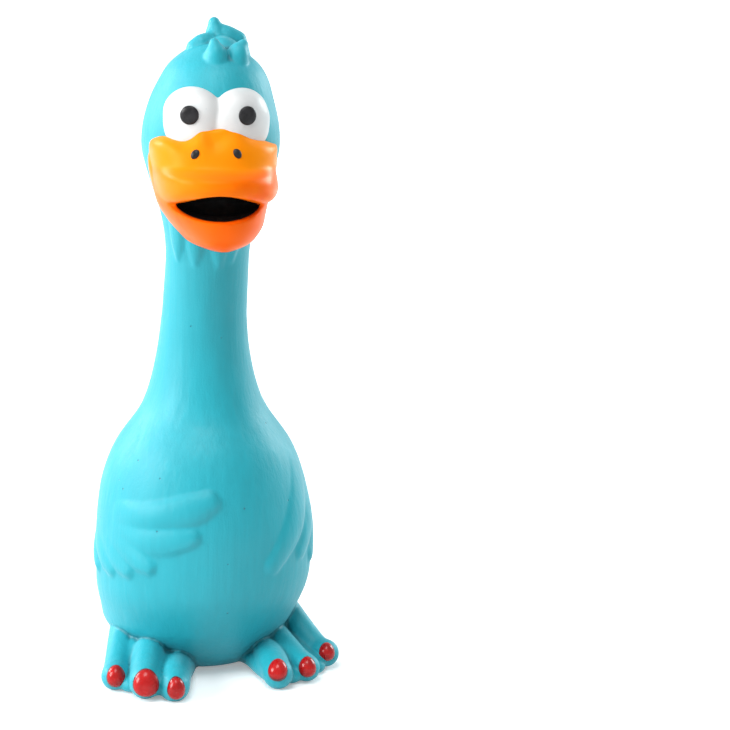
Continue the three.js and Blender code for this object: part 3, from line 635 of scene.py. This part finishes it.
def toe_shells():
    """Toes with the webs between them, which stop short of their tips."""
    shells = []
    for side in ("right", "left"):
        rows = []
        for i in (1, 2, 3):
            toe = TOES[f"{side}_{i}"]
            r = TOE_RADIUS * toe["size"]
            root, middle, tip = toe_points(toe)
            end, _ = toe_ball(toe)
            full = toe.get("full", 1.02)
            shells.append(limb([root - (middle - root) * 0.3, root, middle, end],
                               [r * toe.get("start", 1.0)] * 2 + [r * full, r * 1.02]))
            rows.append(np.array([root, middle, tip]))
        for one, other, (height, low) in zip(rows, rows[1:], WEBS[side]):
            shares = np.array([[1, 1, height], [1, 1, low], [1, 1, 0.5]])
            root, middle, tip = (one + other) / 2 * shares
            shells.append(limb([root, middle, middle + (tip - middle) * 0.5], WEB_RADII, flat=0.72))
    shells.append(limb(LEFT_HEEL, LEFT_HEEL_RADII, flat=0.8))
    return shells


def toe_ball(toe):
    """Middle of the ball at a toe's tip, and the way that the toe points."""
    _, middle, tip = toe_points(toe)
    along = (tip - middle) / np.linalg.norm(tip - middle)
    return tip - along * TOE_RADIUS * toe["size"] * 0.98, along


TAIL_HEIGHT, TAIL_REACH = 27.0, 11
TAIL_SHARES = ((-0.7, -0.2), (0, 0), (0.45, 0.2), (0.84, 0.6))
TAIL_RADII = [8.6, 7.8, 5.6, 2.4]


def tail_shell():
    back = on_body(180, TAIL_HEIGHT)
    spots = [back + np.array([0, TAIL_REACH * reach, TAIL_REACH * rise])
             for reach, rise in TAIL_SHARES]
    return limb(spots, TAIL_RADII, flat=0.62)


# Points and radii of the crest's tufts and, last, of the ridge between them
CREST = [
    ([(3, -3, 214), (2.4, -3, 224), (1.2, -3, 232.0)], [8.8, 6.0, 2.2]),
    ([(1.6, -3, 229.6), (5, -3, 227.9), (9.4, -3, 226.1)], [2.7, 3.6, 3.4]),
    ([(8.4, -3, 214), (9.4, -3, 221), (9.8, -3, 225.4)], [6.8, 4.9, 3.2]),
    ([(-2.4, -7, 213), (-3.8, -7.6, 219.4), (-5.6, -7.4, 223.4)], [7.0, 5.6, 3.4]),
    ([(-6.0, -7.6, 223.2), (-3.6, -7.2, 225.2), (-0.6, -5.6, 225.4)], [3.0, 3.2, 3.6]),
    ([(0.3, -18.0, 213), (0.3, -18.2, 219.8), (0.2, -18.2, 223.4), (-0.2, -17.6, 226.2)],
     [5.0, 4.5, 3.8, 1.9]),
    ([(7.4, -17, 213), (7.8, -16.8, 220.0), (8.4, -16.6, 223.2), (10.0, -15.6, 225.6)],
     [4.4, 4.0, 3.7, 2.0]),
    ([(3, -4, 220), (3.6, -9, 221.5), (3.8, -12.6, 219.6)], [7.0, 6.6, 5.4]),
]


def feather_height(turn, z, feathers):
    """Relief of a fan of feathers, which lie on each other, at places on the belly."""
    s = np.radians(turn) * BELLY_RADIUS
    out = np.zeros(len(s))
    for points, widths, heights in feathers:
        rows = spline([(math.radians(t) * BELLY_RADIUS, h, w, k)
                       for (t, h), w, k in zip(points, widths, heights)], 60)
        for cs, cz, w, k in rows:
            near = (np.abs(s - cs) < w) & (np.abs(z - cz) < w)
            if not near.any():
                continue
            d = ((s[near] - cs) ** 2 + (z[near] - cz) ** 2) / (w * w)
            rise = k * np.clip(1 - d, 0, 1) ** 0.62
            out[near] = np.maximum(out[near], rise)
    return out


# Each feather as turns and heights along it, half widths and thicknesses
RIGHT_FEATHERS = [
    ([(-76, 60.5), (-50, 61), (-30, 63), (-14, 65.4), (-4.5, 68)], [6, 4.8, 5.1, 5.6, 4.2],
     [0.2, 1.1, 1.9, 2.0, 1.7]),
    ([(-76, 57), (-52, 53.8), (-32, 53.3), (-22, 54.5), (-14.5, 55.6)], [6, 5.4, 5.3, 4.7, 3.5],
     [0.2, 0.8, 1.5, 1.6, 1.5]),
    ([(-74, 53), (-58, 49.6), (-46, 46), (-37.4, 43.6)], [5, 4.6, 4.2, 3.2], [0.2, 0.8, 1.4, 1.6]),
    ([(-80, 51), (-68, 46.4), (-58, 42.6), (-51, 40.4)], [4.6, 4.2, 3.8, 2.8],
     [0.2, 0.8, 1.1, 1.3]),
    ([(-92, 51), (-82, 46), (-72, 41.6), (-65, 39)], [4.6, 4.2, 3.8, 2.8], [0.2, 0.9, 1.2, 1.2]),
    ([(-102, 50), (-96, 44), (-89, 40), (-83, 37.6)], [4.6, 4.2, 3.8, 2.8], [0.2, 0.9, 1.2, 1.2]),
]
LEFT_FEATHERS = [
    ([(80, 84), (64, 69), (47, 54.6), (31.5, 43.4)], [6.5, 6.2, 5.6, 3.6], [0.4, 1.1, 1.5, 1.4]),
    ([(88, 72), (76, 60), (65, 51), (55.5, 45.6)], [6, 5.6, 4.8, 3.4], [0.3, 0.9, 1.3, 1.4]),
    ([(97, 66), (89, 54), (80, 46), (72, 41.6)], [5.6, 5.2, 4.6, 3.4], [0.3, 0.9, 1.2, 1.3]),
    ([(106, 64), (101, 53), (94, 45.6), (87, 41)], [5.2, 4.8, 4.2, 3.2], [0.3, 0.9, 1.2, 1.3]),
]
THROAT_FEATHERS = [
    ([(-52, 164), (-52, 157), (-52, 151)], [3.4, 3, 1.1], [0.6, 1.3, 0.7]),
    ([(-24, 163), (-25, 156), (-25, 149.4)], [3.4, 3, 1.1], [0.6, 1.3, 0.7]),
    ([(6, 162), (8, 155), (8.4, 148.6)], [3.4, 3, 1.1], [0.6, 1.3, 0.7]),
    ([(27, 163), (27, 157), (26, 150.6)], [3.4, 2.8, 1.1], [0.6, 1.2, 0.7]),
]
# Heights where wing and throat feathers may lie, and how far off the body a vertex still counts
WING_LOW, WING_HIGH, THROAT_LOW, THROAT_HIGH, SKIN_REACH = 24, 112, 140, 170, 1.6
# Each wing's feathers and side, with the turn and height of the low pad under them, and the pads'
# half width, half height and thickness
WINGS = ((RIGHT_FEATHERS, -1, -88, 69), (LEFT_FEATHERS, 1, 92, 70))
PAD_WIDE, PAD_TALL, PAD_THICK = 22, 29, 0.9


def with_relief(mesh):
    """Places of a body mesh's vertices with the feathers of wings and throat raised on it."""
    co = coordinates(mesh)
    z = co[:, 2]
    aside, back = co[:, 0] - shift_at(z), (co[:, 1] + lean_at(z)) / depth_share(z)
    turn = np.degrees(np.arctan2(aside, -back))
    on_skin = np.abs(np.hypot(aside, back) - np.maximum(radius_at(z), 1)) < SKIN_REACH
    rise = np.zeros(len(co))
    for feathers, side, pad_turn, pad_z in WINGS:
        part = on_skin & (z > WING_LOW) & (z < WING_HIGH) & (turn * side > -12)
        rise[part] += feather_height(turn[part], z[part], feathers)
        across = np.radians(turn[part] - pad_turn) * BELLY_RADIUS
        d = (across / PAD_WIDE) ** 2 + ((z[part] - pad_z) / PAD_TALL) ** 2
        rise[part] = np.maximum(rise[part], PAD_THICK * np.clip(1 - d, 0, 1) ** 0.9)
    part = on_skin & (z > THROAT_LOW) & (z < THROAT_HIGH) & (np.abs(turn) < 75)
    slim = NECK_RADIUS / BELLY_RADIUS
    rise[part] += feather_height(turn[part] * slim, z[part], [
        ([(t * slim, h) for t, h in points], widths, heights)
        for points, widths, heights in THROAT_FEATHERS])
    co = co + normals(mesh) * rise[:, None]
    touched = smoothstep(0.0, 0.05, spread(mesh, rise, 3))
    return relax(mesh, co, 5, weight=touched)


# How far toes and crest are kept from smoothing, the gain on creases, and the depth at which a
# crease's painted shade is full
CRISP_SHARE, CREASE_GAIN, CREASE_DEPTH = 0.85, 2.0, 0.12
# Toes end below the first height, the crest stands above the last, and its foot above the middle
TOES_TOP, CREST_FOOT, CREST_LOW = 22, 206, 212


def mark_points(mesh, name, values):
    mesh.attributes.new(name, "FLOAT", "POINT").data.foreach_set("value", values)


def whole_skin():
    """The one moulding: body, tail, feet and crest melted together, with its relief."""
    crest = [limb(points, radii, up=(0, -1, 0)) for points, radii in CREST]
    obj = make("skin_whole", [body_shell(), tail_shell()] + toe_shells()
               + [(turn_head(verts), faces) for verts, faces in crest])
    remesh(obj, SKIN_VOXEL * COARSER)
    mesh = obj.data
    co = relax(mesh, coordinates(mesh), 2)
    x, y, z = co.T
    beyond = np.hypot(x, y + lean_at(z)) - radius_at(z)
    crisp = (((z < TOES_TOP) & (beyond < 3)) | (z > CREST_LOW)
             | ((beyond > 0.8) & (z > CREST_FOOT)))
    calm = 1 - CRISP_SHARE * spread(mesh, crisp.astype(float), 4)
    co = relax(mesh, co, 10, weight=calm)
    place(mesh, co)
    # Creases are drawn in, as a mould's edge leaves them
    out = normals(mesh)
    inward = np.minimum(np.sum((co - relax(mesh, co, 6)) * out, axis=1), 0)
    place(mesh, co + out * (inward * (1 - calm) * CREASE_GAIN)[:, None])
    # The creases are marked for the skin's paint, which darkens there as painted shade
    mark_points(mesh, "crease", spread(mesh, np.clip(-inward / CREASE_DEPTH, 0, 1), 1))
    co = with_relief(mesh)
    co[:, 2] = np.maximum(co[:, 2], 0)
    place(mesh, co)
    return obj


def at(point):
    """Point of the bird's millimetres in the model's metres."""
    return tuple(((np.asarray(point, float) - ORIGIN) * MM).tolist())


UP, DOWN = (0, 0, 1), (0, 0, -1)
# The press patch is what lies in front of a plane through the belly, below the neck
PRESS_LOW, PRESS_HIGH = np.array([0, -27.0, 16.0]), np.array([0, -20.0, 95.0])
PRESS_FLOOR, PRESS_TOP = 16.0, 114.0
rise_way = (PRESS_HIGH - PRESS_LOW) / np.linalg.norm(PRESS_HIGH - PRESS_LOW)
PRESS_WAY = np.cross(rise_way, (1, 0, 0))
PRESS_WAY *= -np.sign(PRESS_WAY[1])


def bisect(bm, point, way, clear=False):
    """Cut a mesh's faces along a plane, and clear what lies beyond it where asked."""
    bmesh.ops.bisect_plane(bm, geom=bm.verts[:] + bm.edges[:] + bm.faces[:], dist=1e-7,
                           plane_co=at(point), plane_no=way, clear_outer=clear)


def patch_faces(bm):
    start, way = at(PRESS_LOW), PRESS_WAY.tolist()
    faces = []
    for face in bm.faces:
        centre = face.calc_center_median()
        ahead = sum((c - s) * w for c, s, w in zip(centre, start, way))
        if ahead > 0 and PRESS_FLOOR * MM < centre.z < PRESS_TOP * MM:
            faces.append(face)
    return faces


def piece_of(source, name, cuts, without_patch=False):
    """Copy of the skin with what lies beyond each plane cut away, or the press patch as well."""
    bm = bmesh.new()
    bm.from_mesh(source.data)
    for point, way in cuts:
        bisect(bm, point, way, clear=True)
    if without_patch:
        bisect(bm, PRESS_LOW, PRESS_WAY)
        bisect(bm, (0, 0, PRESS_FLOOR), UP)
        bmesh.ops.delete(bm, geom=patch_faces(bm), context="FACES")
    mesh = bpy.data.meshes.new(name)
    bm.to_mesh(mesh)
    bm.free()
    return add(name, mesh, LATEX)


skin = whole_skin()
skin_upper = piece_of(skin, "skin_upper", [((0, 0, SPLIT_HEIGHT), DOWN)])
skin_front = piece_of(skin, "skin_front", [((0, 0, PRESS_TOP), UP), (PRESS_LOW, -PRESS_WAY),
                                           ((0, 0, PRESS_FLOOR), DOWN)])
skin_lower = piece_of(skin, "skin_lower", [((0, 0, SPLIT_HEIGHT), UP)], without_patch=True)
bpy.data.objects.remove(skin)

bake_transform(skin_lower)
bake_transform(skin_upper)
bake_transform(skin_front)
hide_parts("belly_skin", "wing_right", "wing_left", "foot_right", "foot_left", "tail")
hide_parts("belly_front")
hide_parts("neck_skin", "head_skin", "crest")


# ---------- eyes
EYE_RADIUS, EYE_THICK, EYE_SINK, EYE_UP, EYE_TURN = 10.9, 8.5, 4.0, 13.0, 24.6
# How far an eye's white reaches up and down, and how much wider the bird's left one is below
EYE_ROOF, EYE_FLOOR, EYE_FULLER = 9.1, 14.0, 0.09


def on_head(turn, above):
    """Point of the head at degrees from the front and millimetres above its widest height."""
    a = math.radians(turn)
    r = HEAD_RADIUS * math.sqrt(1 - (above / CROWN_RISE) ** 2)
    return np.array([r * math.sin(a), -HEAD_FORWARD - r * HEAD_DEPTH * math.cos(a),
                     HEAD_WIDEST + above])


def eye_centre(side):
    a = math.radians(side * EYE_TURN)
    return on_head(side * EYE_TURN, EYE_UP) + EYE_SINK * np.array([-math.sin(a), math.cos(a), 0])


def egg(side, sides=48, rows=36):
    """White of an eye, round above and full below, where the bill holds it."""
    a = circle(sides)
    fuller = EYE_FULLER if side > 0 else 0.0
    rings = []
    for z in np.sin(np.radians(np.linspace(-86, 86, rows))):
        if z < 0:
            share, rise = (1 - abs(z) ** 3) ** (1 / 3), EYE_FLOOR
        else:
            share, rise = math.sqrt(1 - z * z), EYE_ROOF
        wide = EYE_RADIUS * (1 + fuller * smoothstep(0.3, -0.2, z))
        rings.append(np.stack([np.cos(a) * share * wide, np.sin(a) * share * EYE_THICK,
                               np.full(sides, z * rise)], axis=1))
    verts, faces = loft(rings)
    move = np.array(Matrix.Rotation(math.radians(side * EYE_TURN), 3, "Z"))
    return verts @ move.T + eye_centre(side), faces


def eye_whites():
    """Both whites, melted together over the bridge between them."""
    bridge = (eye_centre(-1) + eye_centre(1)) / 2 + np.array([0, -0.4, -4.6])
    shells = [egg(-1), egg(1), ellipsoid(bridge, np.array([8.0, 7.4, 9.6]))]
    obj = make("eye_whites", [(turn_head(verts), faces) for verts, faces in shells], WHITE)
    remesh(obj, EYE_VOXEL)
    smooth(obj, 16)
    paint(obj, WHITE)
    return obj


whites = eye_whites()
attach(whites, "head")
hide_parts("eye_right", "eye_left")


# Where a dome's skirt starts, under the surface, as a share of a quarter turn
DOME_SKIRT = -0.35


def dome(name, spot, out, radii, material, sides=48, rows=14, lean=0.0, narrow=0.0):
    """Low dome on a surface at spot that faces out, leaning by degrees and narrower at its top."""
    out = np.asarray(out, float) / np.linalg.norm(out)
    side = np.cross((0, 0, 1.0), out)
    side /= np.linalg.norm(side)
    up = np.cross(out, side)
    a = math.radians(lean)
    side, up = side * math.cos(a) + up * math.sin(a), up * math.cos(a) - side * math.sin(a)
    turns = circle(sides)
    places = np.linspace(DOME_SKIRT, 1, rows)
    rings = []
    for t in places:
        a = t * math.pi / 2
        share, lift = math.cos(a) if t > 0 else 1 - 0.12 * t * t, math.sin(a)
        share = max(share, 0.02)
        wide = np.cos(turns) * (1 - narrow * np.sin(turns))
        rings.append(np.asarray(spot) + np.outer(wide, side) * radii[0] * share
                     + np.outer(np.sin(turns), up) * radii[2] * share + out * radii[1] * lift)
    obj = make(name, [loft(rings)], material)
    rim = np.concatenate([np.repeat(places, sides), [DOME_SKIRT, 1]])
    mark_points(obj.data, "rim", rim.astype(np.float32))
    return obj


PUPIL_RADIUS, PUPIL_INSET = 3.25, 1.2
for side, name in ((-1, "right"), (1, "left")):
    a = math.radians(side * EYE_TURN)
    out = EYE_THICK * math.sqrt(1 - (PUPIL_INSET / EYE_RADIUS) ** 2)
    local = np.array([-side * PUPIL_INSET, -out, 0])
    way = np.array([-side * PUPIL_INSET / EYE_RADIUS ** 2, -out / EYE_THICK ** 2, 0])
    turn = np.array(Matrix.Rotation(a, 3, "Z"))
    spot = turn_head((turn @ local + eye_centre(side))[None])[0]
    way = np.array(Matrix.Rotation(HEAD_TURN, 3, "Z")) @ (turn @ way)
    pupil = dome(f"pupil_dome_{name}", spot, way, (PUPIL_RADIUS, 1.0, PUPIL_RADIUS), BLACK)
    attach(pupil, "head")
    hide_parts(f"pupil_{name}")

# ---------- bill
BILL_ROOT = HEAD_FORWARD + HEAD_RADIUS * HEAD_DEPTH - 16.0
BILL_WIDTH, BILL_REACH, BILL_BACK = 22.2, 30.0, 5.0
BILL_BOTTOM, BILL_HEIGHT = HEAD_WIDEST - 16.0, 24.8
LOWER_BOTTOM, LOWER_HEIGHT = BILL_BOTTOM - 18.4, 32.0
# Height, half width and reach of the bill's sections as shares
UPPER_ROWS = [
    [0, 0.7, 0.8], [0.04, 0.82, 0.9], [0.12, 0.9, 0.967], [0.24, 0.94, 1.0], [0.34, 0.955, 0.966],
    [0.4, 0.963, 0.872], [0.455, 0.975, 0.79], [0.52, 0.988, 0.757], [0.6, 0.996, 0.73],
    [0.665, 1, 0.706], [0.745, 0.97, 0.667], [0.81, 0.84, 0.633], [0.89, 0.57, 0.605],
    [0.96, 0.42, 0.585], [0.99, 0.3, 0.56],
]
LOWER_ROWS = [
    [0, 0.22, 0.48], [0.06, 0.45, 0.6], [0.16, 0.6, 0.7], [0.27, 0.71, 0.783], [0.365, 0.77, 0.833],
    [0.45, 0.825, 0.843], [0.56, 0.892, 0.783], [0.7, 0.955, 0.55], [0.86, 1.005, 0.35],
    [1, 1.018, 0.15],
]
# Height, middle and width of each bump along the top edge of the upper bill
BROW = ((1.2, -19, 4), (-0.7, -12.0, 3), (2.3, -6.0, 2.6), (-0.5, -1.2, 3), (2.1, 6.4, 4.8),
        (-0.9, 20.5, 3.4))
MOUTH_Z, MOUTH_SHIFT = HEAD_WIDEST - 17.4, 0.45
# Half width, roof, floor and depth behind the lip of the mouth's sections
MOUTH_ROWS = ((17.8, 4.4, 5.7, -1.5), (17.5, 4.2, 5.6, 0.8), (16.0, 3.8, 5.2, 3.0),
              (14.4, 3.5, 4.95, 4.4))
# Where the mouth's cutter starts and ends, far ahead and at the pocket's back
MOUTH_AHEAD, MOUTH_BACK = -60.0, -27.0


def bill_shell(rows, bottom, height, square):
    """Half a bill: sections round at the back and squarer ahead."""
    width_at = curve_of([[row[0], row[1]] for row in rows])
    reach_at = curve_of([[row[0], row[2]] for row in rows])
    turns = circle(96)
    c, s = np.cos(turns), np.sin(turns)
    power = 2 / square
    ahead = s < 0
    cx = np.where(ahead, np.sign(c) * np.abs(c) ** power, c)
    sy = np.where(ahead, -np.abs(s) ** power, s)
    rings = []
    for t in np.linspace(rows[0][0], rows[-1][0], 44):
        width, reach = BILL_WIDTH * float(width_at(t)), BILL_REACH * float(reach_at(t))
        depth = np.where(ahead, reach, BILL_BACK)
        rings.append(np.stack([width * cx, depth * sy - BILL_ROOT,
                               np.full(len(turns), bottom + height * t)], axis=1))
    return loft(rings)


def lens(half, roof, floor, y):
    """Pointed oval across the mouth at a depth, which may differ from point to point."""
    x = np.cos(np.linspace(0, math.pi, 32, endpoint=False)) * half
    bulge = np.clip(1 - (x / half) ** 2, 0, 1)
    xs = np.concatenate([x, -x])
    zs = np.concatenate([roof * bulge ** 1.4, -floor * bulge ** 0.56]) + MOUTH_Z
    ys = y(xs) if callable(y) else np.full(len(xs), y)
    return np.stack([xs + MOUTH_SHIFT, ys, zs], axis=1)


def lip_y(x):
    """Depth of the lip's front across the bill."""
    return -BILL_ROOT - 26.8 * np.sqrt(np.clip(1 - (x / 20.4) ** 2, 0.05, 1))


def boolean(obj, cutter, how):
    """Cut an object with another or join them, and drop the other one."""
    modifier = obj.modifiers.new("cut", "BOOLEAN")
    modifier.operation = how
    modifier.solver = "EXACT"
    modifier.use_self = True
    modifier.object = cutter
    apply_modifiers(obj)
    bpy.data.objects.remove(cutter)


def bump_at(x, middle, width):
    return np.exp(-((x - middle) / width) ** 2)


def upper_bill():
    """Upper bill with its wavy brow, a fuller left lip and drooping corners."""
    verts, faces = bill_shell(UPPER_ROWS, BILL_BOTTOM, BILL_HEIGHT, 2.25)
    x, z = verts[:, 0].copy(), verts[:, 2]
    high = smoothstep(188.0, 195.0, z)
    verts[:, 0] += 2.1 * smoothstep(6, 18, x) * bump_at(z, 177.4, 4.5)
    verts[:, 2] += high * sum(rise * bump_at(x, middle, width) for rise, middle, width in BROW)
    verts[:, 2] -= 2.2 * smoothstep(9, 17, np.abs(x)) * smoothstep(184.0, 174.5, z)
    return verts, faces


def lower_bill():
    """Lower bill, wider at the bird's right and with its chin towards the bird's left."""
    verts, faces = bill_shell(LOWER_ROWS, LOWER_BOTTOM, LOWER_HEIGHT, 2.1)
    z = verts[:, 2]
    verts[:, 0] *= 1 + 0.07 * smoothstep(2, -2, verts[:, 0]) * smoothstep(176.0, 168.0, z)
    verts[:, 0] += 2.8 * smoothstep(175.0, 159.0, z)
    return verts, faces


def mouth_form():
    rings = [lens(*MOUTH_ROWS[0][:3], MOUTH_AHEAD)]
    rings += [lens(half, roof, floor, lambda x, back=back: lip_y(x) + back)
              for half, roof, floor, back in MOUTH_ROWS]
    rings.append(lens(13.6, 3.2, 4.7, MOUTH_BACK))
    return loft(rings)


def bill():
    obj = make("bill", [upper_bill()])
    boolean(obj, make("bill_lower_form", [lower_bill()]), "UNION")
    boolean(obj, make("mouth_form", [mouth_form()]), "DIFFERENCE")
    remesh(obj, BILL_VOXEL * COARSER)
    smooth(obj, 11)
    place(obj.data, turn_head(coordinates(obj.data)))
    obj.data.shade_smooth()
    paint(obj, ORANGE)
    return obj


bill_piece = bill()
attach(bill_piece, "head")
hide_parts("upper_beak", "lower_beak")


# Depth behind the lip where the mouth's black lining starts, and the depth of its back
CUP_START, CUP_BACK = 3.8, -27.6


def mouth_cup():
    """Black lining of the mouth, open in front."""
    rings = []
    for t in np.linspace(0, 1, 12):
        def y(x, t=t):
            start = lip_y(x) + CUP_START
            return start + (CUP_BACK - start) * t
        rings.append(lens(14.4 - 1.0 * t, 3.6 - 0.5 * t, 4.9 - 0.4 * t, y))
    verts, faces = loft(rings)
    faces = [face for face in faces if len(verts) - 2 not in face]
    return make("mouth_cup", [(turn_head(verts), faces)], MOUTH_BLACK)


cup = mouth_cup()
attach(cup, "head")
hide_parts("mouth_lining")


def surface_hit(obj, x, z):
    """Spot and outward way of the bill's front at a place seen from ahead."""
    start = Vector(at((x, -80, z)))
    _, spot, way, _ = obj.ray_cast(start, Vector((0, 1, 0)))
    return np.array(spot) / MM + ORIGIN, np.array(way)


for side, name, x, z in ((-1, "right", -9.4, 190.2), (1, "left", 4.9, 190.6)):
    spot, way = surface_hit(bill_piece, x, z)
    nostril = dome(f"nostril_spot_{name}", spot, way, (1.35, 0.7, 1.8), BLACK, 32, 10,
                   lean=30 * side)
    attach(nostril, "head")
    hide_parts(f"nostril_{name}")

# ---------- toenails
NAIL_THICK, NAIL_SINK = 3.1, 1.7
for key, toe in TOES.items():
    r = TOE_RADIUS * toe["size"] * 1.02
    centre, along = toe_ball(toe)
    turn = math.atan2(along[0], -along[1]) + math.radians(toe["aim"][0])
    up = math.radians(toe["aim"][1])
    way = np.array([math.sin(turn) * math.cos(up), -math.cos(turn) * math.cos(up), math.sin(up)])
    across, tall = toe["nail"]
    nail_obj = dome(f"toenail_{key}_paint", centre + way * (r - NAIL_SINK), way,
                    (across, NAIL_THICK, tall), RED, narrow=0.14)
    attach(nail_obj, "body")
    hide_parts(f"toenail_{key}")


# ---------- filling and squeaker
def filling(name, heights, gap, node):
    """Padded fibre inside the skin, with soft lumps."""
    turns = np.linspace(0, 360, 64, endpoint=False)
    rings = []
    for z in heights:
        surface = on_body(turns, np.full(len(turns), z))
        centre = np.array([float(shift_at(z)), -float(lean_at(z)), z])
        way = surface - centre
        length = np.linalg.norm(way, axis=1)[:, None]
        rings.append(centre + way * np.maximum(length - gap, 1.0) / length)
    obj = make(name, [loft(rings)], FIBRE)
    remesh(obj, FIBRE_VOXEL)
    co = coordinates(obj.data)
    rng = np.random.default_rng(7)
    waves = rng.normal(size=(10, 3)) * 0.35
    phases = rng.uniform(0, 6.28, 10)
    lumps = sum(np.sin(co @ w + p) for w, p in zip(waves, phases)) / 10
    co = co + normals(obj.data) * (lumps * 0.7)[:, None]
    place(obj.data, relax(obj.data, co, 2))
    obj.data.shade_smooth()
    paint(obj, FIBRE)
    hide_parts(node)
    return obj


belly_heights = [18.5 + (112 - 18.5) * t for t in np.linspace(0, 1, 40)]
belly_fibre = filling("belly_fibre", belly_heights, 5.0, "belly_stuffing")
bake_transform(belly_fibre)
neck_fibre = filling("neck_fibre", np.linspace(119, 146, 12), 3.6, "neck_stuffing")
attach(neck_fibre, "neck")
head_heights = [154 + (218 - 154) * t for t in np.linspace(0, 1, 30)]
head_fibre = filling("head_fibre", head_heights, 4.2, "head_stuffing")
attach(head_fibre, "head")


for node in ("squeaker_body", "squeaker_cap", "reed_tube", "reed_trough", "reed_wedge"):
    paint(bpy.data.objects[node], PLASTIC)
paint(bpy.data.objects["reed"], BRASS)

# ---------- floor, lights, camera
# Light of the pale backdrop on the object, as a share of what the camera sees of it
BACKDROP_LIGHT = 0.3


def floor():
    """White floor that keeps the shadow and looks white further out."""
    mesh = bpy.data.meshes.new("floor")
    places = np.linspace(-6.0, 6.0, 25)
    n = len(places)
    verts = [(x, y, 0) for y in places for x in places]
    faces = [(j * n + i, j * n + i + 1, (j + 1) * n + i + 1, (j + 1) * n + i)
             for j in range(n - 1) for i in range(n - 1)]
    mesh.from_pydata(verts, [], faces)
    m = Nodes("floor_paper", Specular_IOR_Level=0.1, Roughness=0.9, Emission_Color=(1, 1, 1, 1))
    m.link("Base Color", m.mix(m.between(m.noise(3.0), 0.3, 0.7),
                               (0.86, 0.86, 0.86, 1), (0.88, 0.88, 0.88, 1)))
    far = m.node("ShaderNodeVectorMath", {0: m.place}, operation="LENGTH").outputs["Value"]
    m.link("Emission Strength", m.times(m.seen(), m.between(far, 0.3, 1.3, 0.3, 1.0)))
    add("floor", mesh, m.owner, smooth=False)


def lamp(name, spot, aim, size, power, colour=(1, 1, 1)):
    """Round lamp at a spot in metres that shines on another spot."""
    light = bpy.data.lights.new(name, "AREA")
    light.shape = "DISK"
    light.size = size
    light.energy = power
    light.color = colour
    obj = new_object(name, light)
    obj.location = spot
    obj.rotation_euler = (Vector(aim) - Vector(spot)).to_track_quat("-Z", "Y").to_euler()


floor()
lamp("key_left", (-1.65, -0.4, 0.8), (0, 0, 0.1), 0.9, 33)
lamp("rim_left", (-1.2, 0.8, 0.7), (0, 0, 0.12), 0.6, 16)
lamp("fill_right", (1.3, 0.7, 0.6), (0, 0, 0.11), 0.6, 15, (0.84, 0.97, 1.0))
lamp("front_soft", (-0.3, -0.8, 1.9), (0, 0, 0.13), 1.0, 22)


def backdrop():
    """World that looks white and lights the object less."""
    world = bpy.data.worlds.new("studio")
    bpy.context.scene.world = world
    m = Nodes("studio", world, Color=(1, 1, 1, 1))
    m.link("Strength", m.between(m.seen(), 0, 1, BACKDROP_LIGHT, 1))


backdrop()

# Degrees round and above the bird, millimetres from it, focal length in pixels, aim in millimetres
CAMERA = dict(azimuth=-12.0, elevation=12.0, distance=870.0, focal=2422.0, aside=57.6, height=111.3,
              roll=1.6)
IMAGE_WIDTH, SENSOR_WIDTH = 730, 36


def camera():
    a, e, roll = (math.radians(CAMERA[k]) for k in ("azimuth", "elevation", "roll"))
    back = Vector((math.sin(a) * math.cos(e), -math.cos(a) * math.cos(e), math.sin(e)))
    right = Vector((math.cos(a), math.sin(a), 0))
    up = back.cross(right)
    target = right * CAMERA["aside"] + Vector((0, 0, CAMERA["height"]))
    spot = target + back * CAMERA["distance"] - Vector(ORIGIN)
    turned_right = right * math.cos(roll) + up * math.sin(roll)
    turned_up = up * math.cos(roll) - right * math.sin(roll)
    data = bpy.data.cameras.new("camera")
    data.sensor_width = SENSOR_WIDTH
    data.lens = CAMERA["focal"] / IMAGE_WIDTH * SENSOR_WIDTH
    data.clip_start = 0.05
    data.clip_end = 30
    obj = new_object("camera", data)
    basis = Matrix((turned_right, turned_up, back)).transposed().to_4x4()
    obj.matrix_world = Matrix.Translation(spot * MM) @ basis
    bpy.context.scene.camera = obj


camera()
bpy.context.scene.view_settings.view_transform = "Standard"
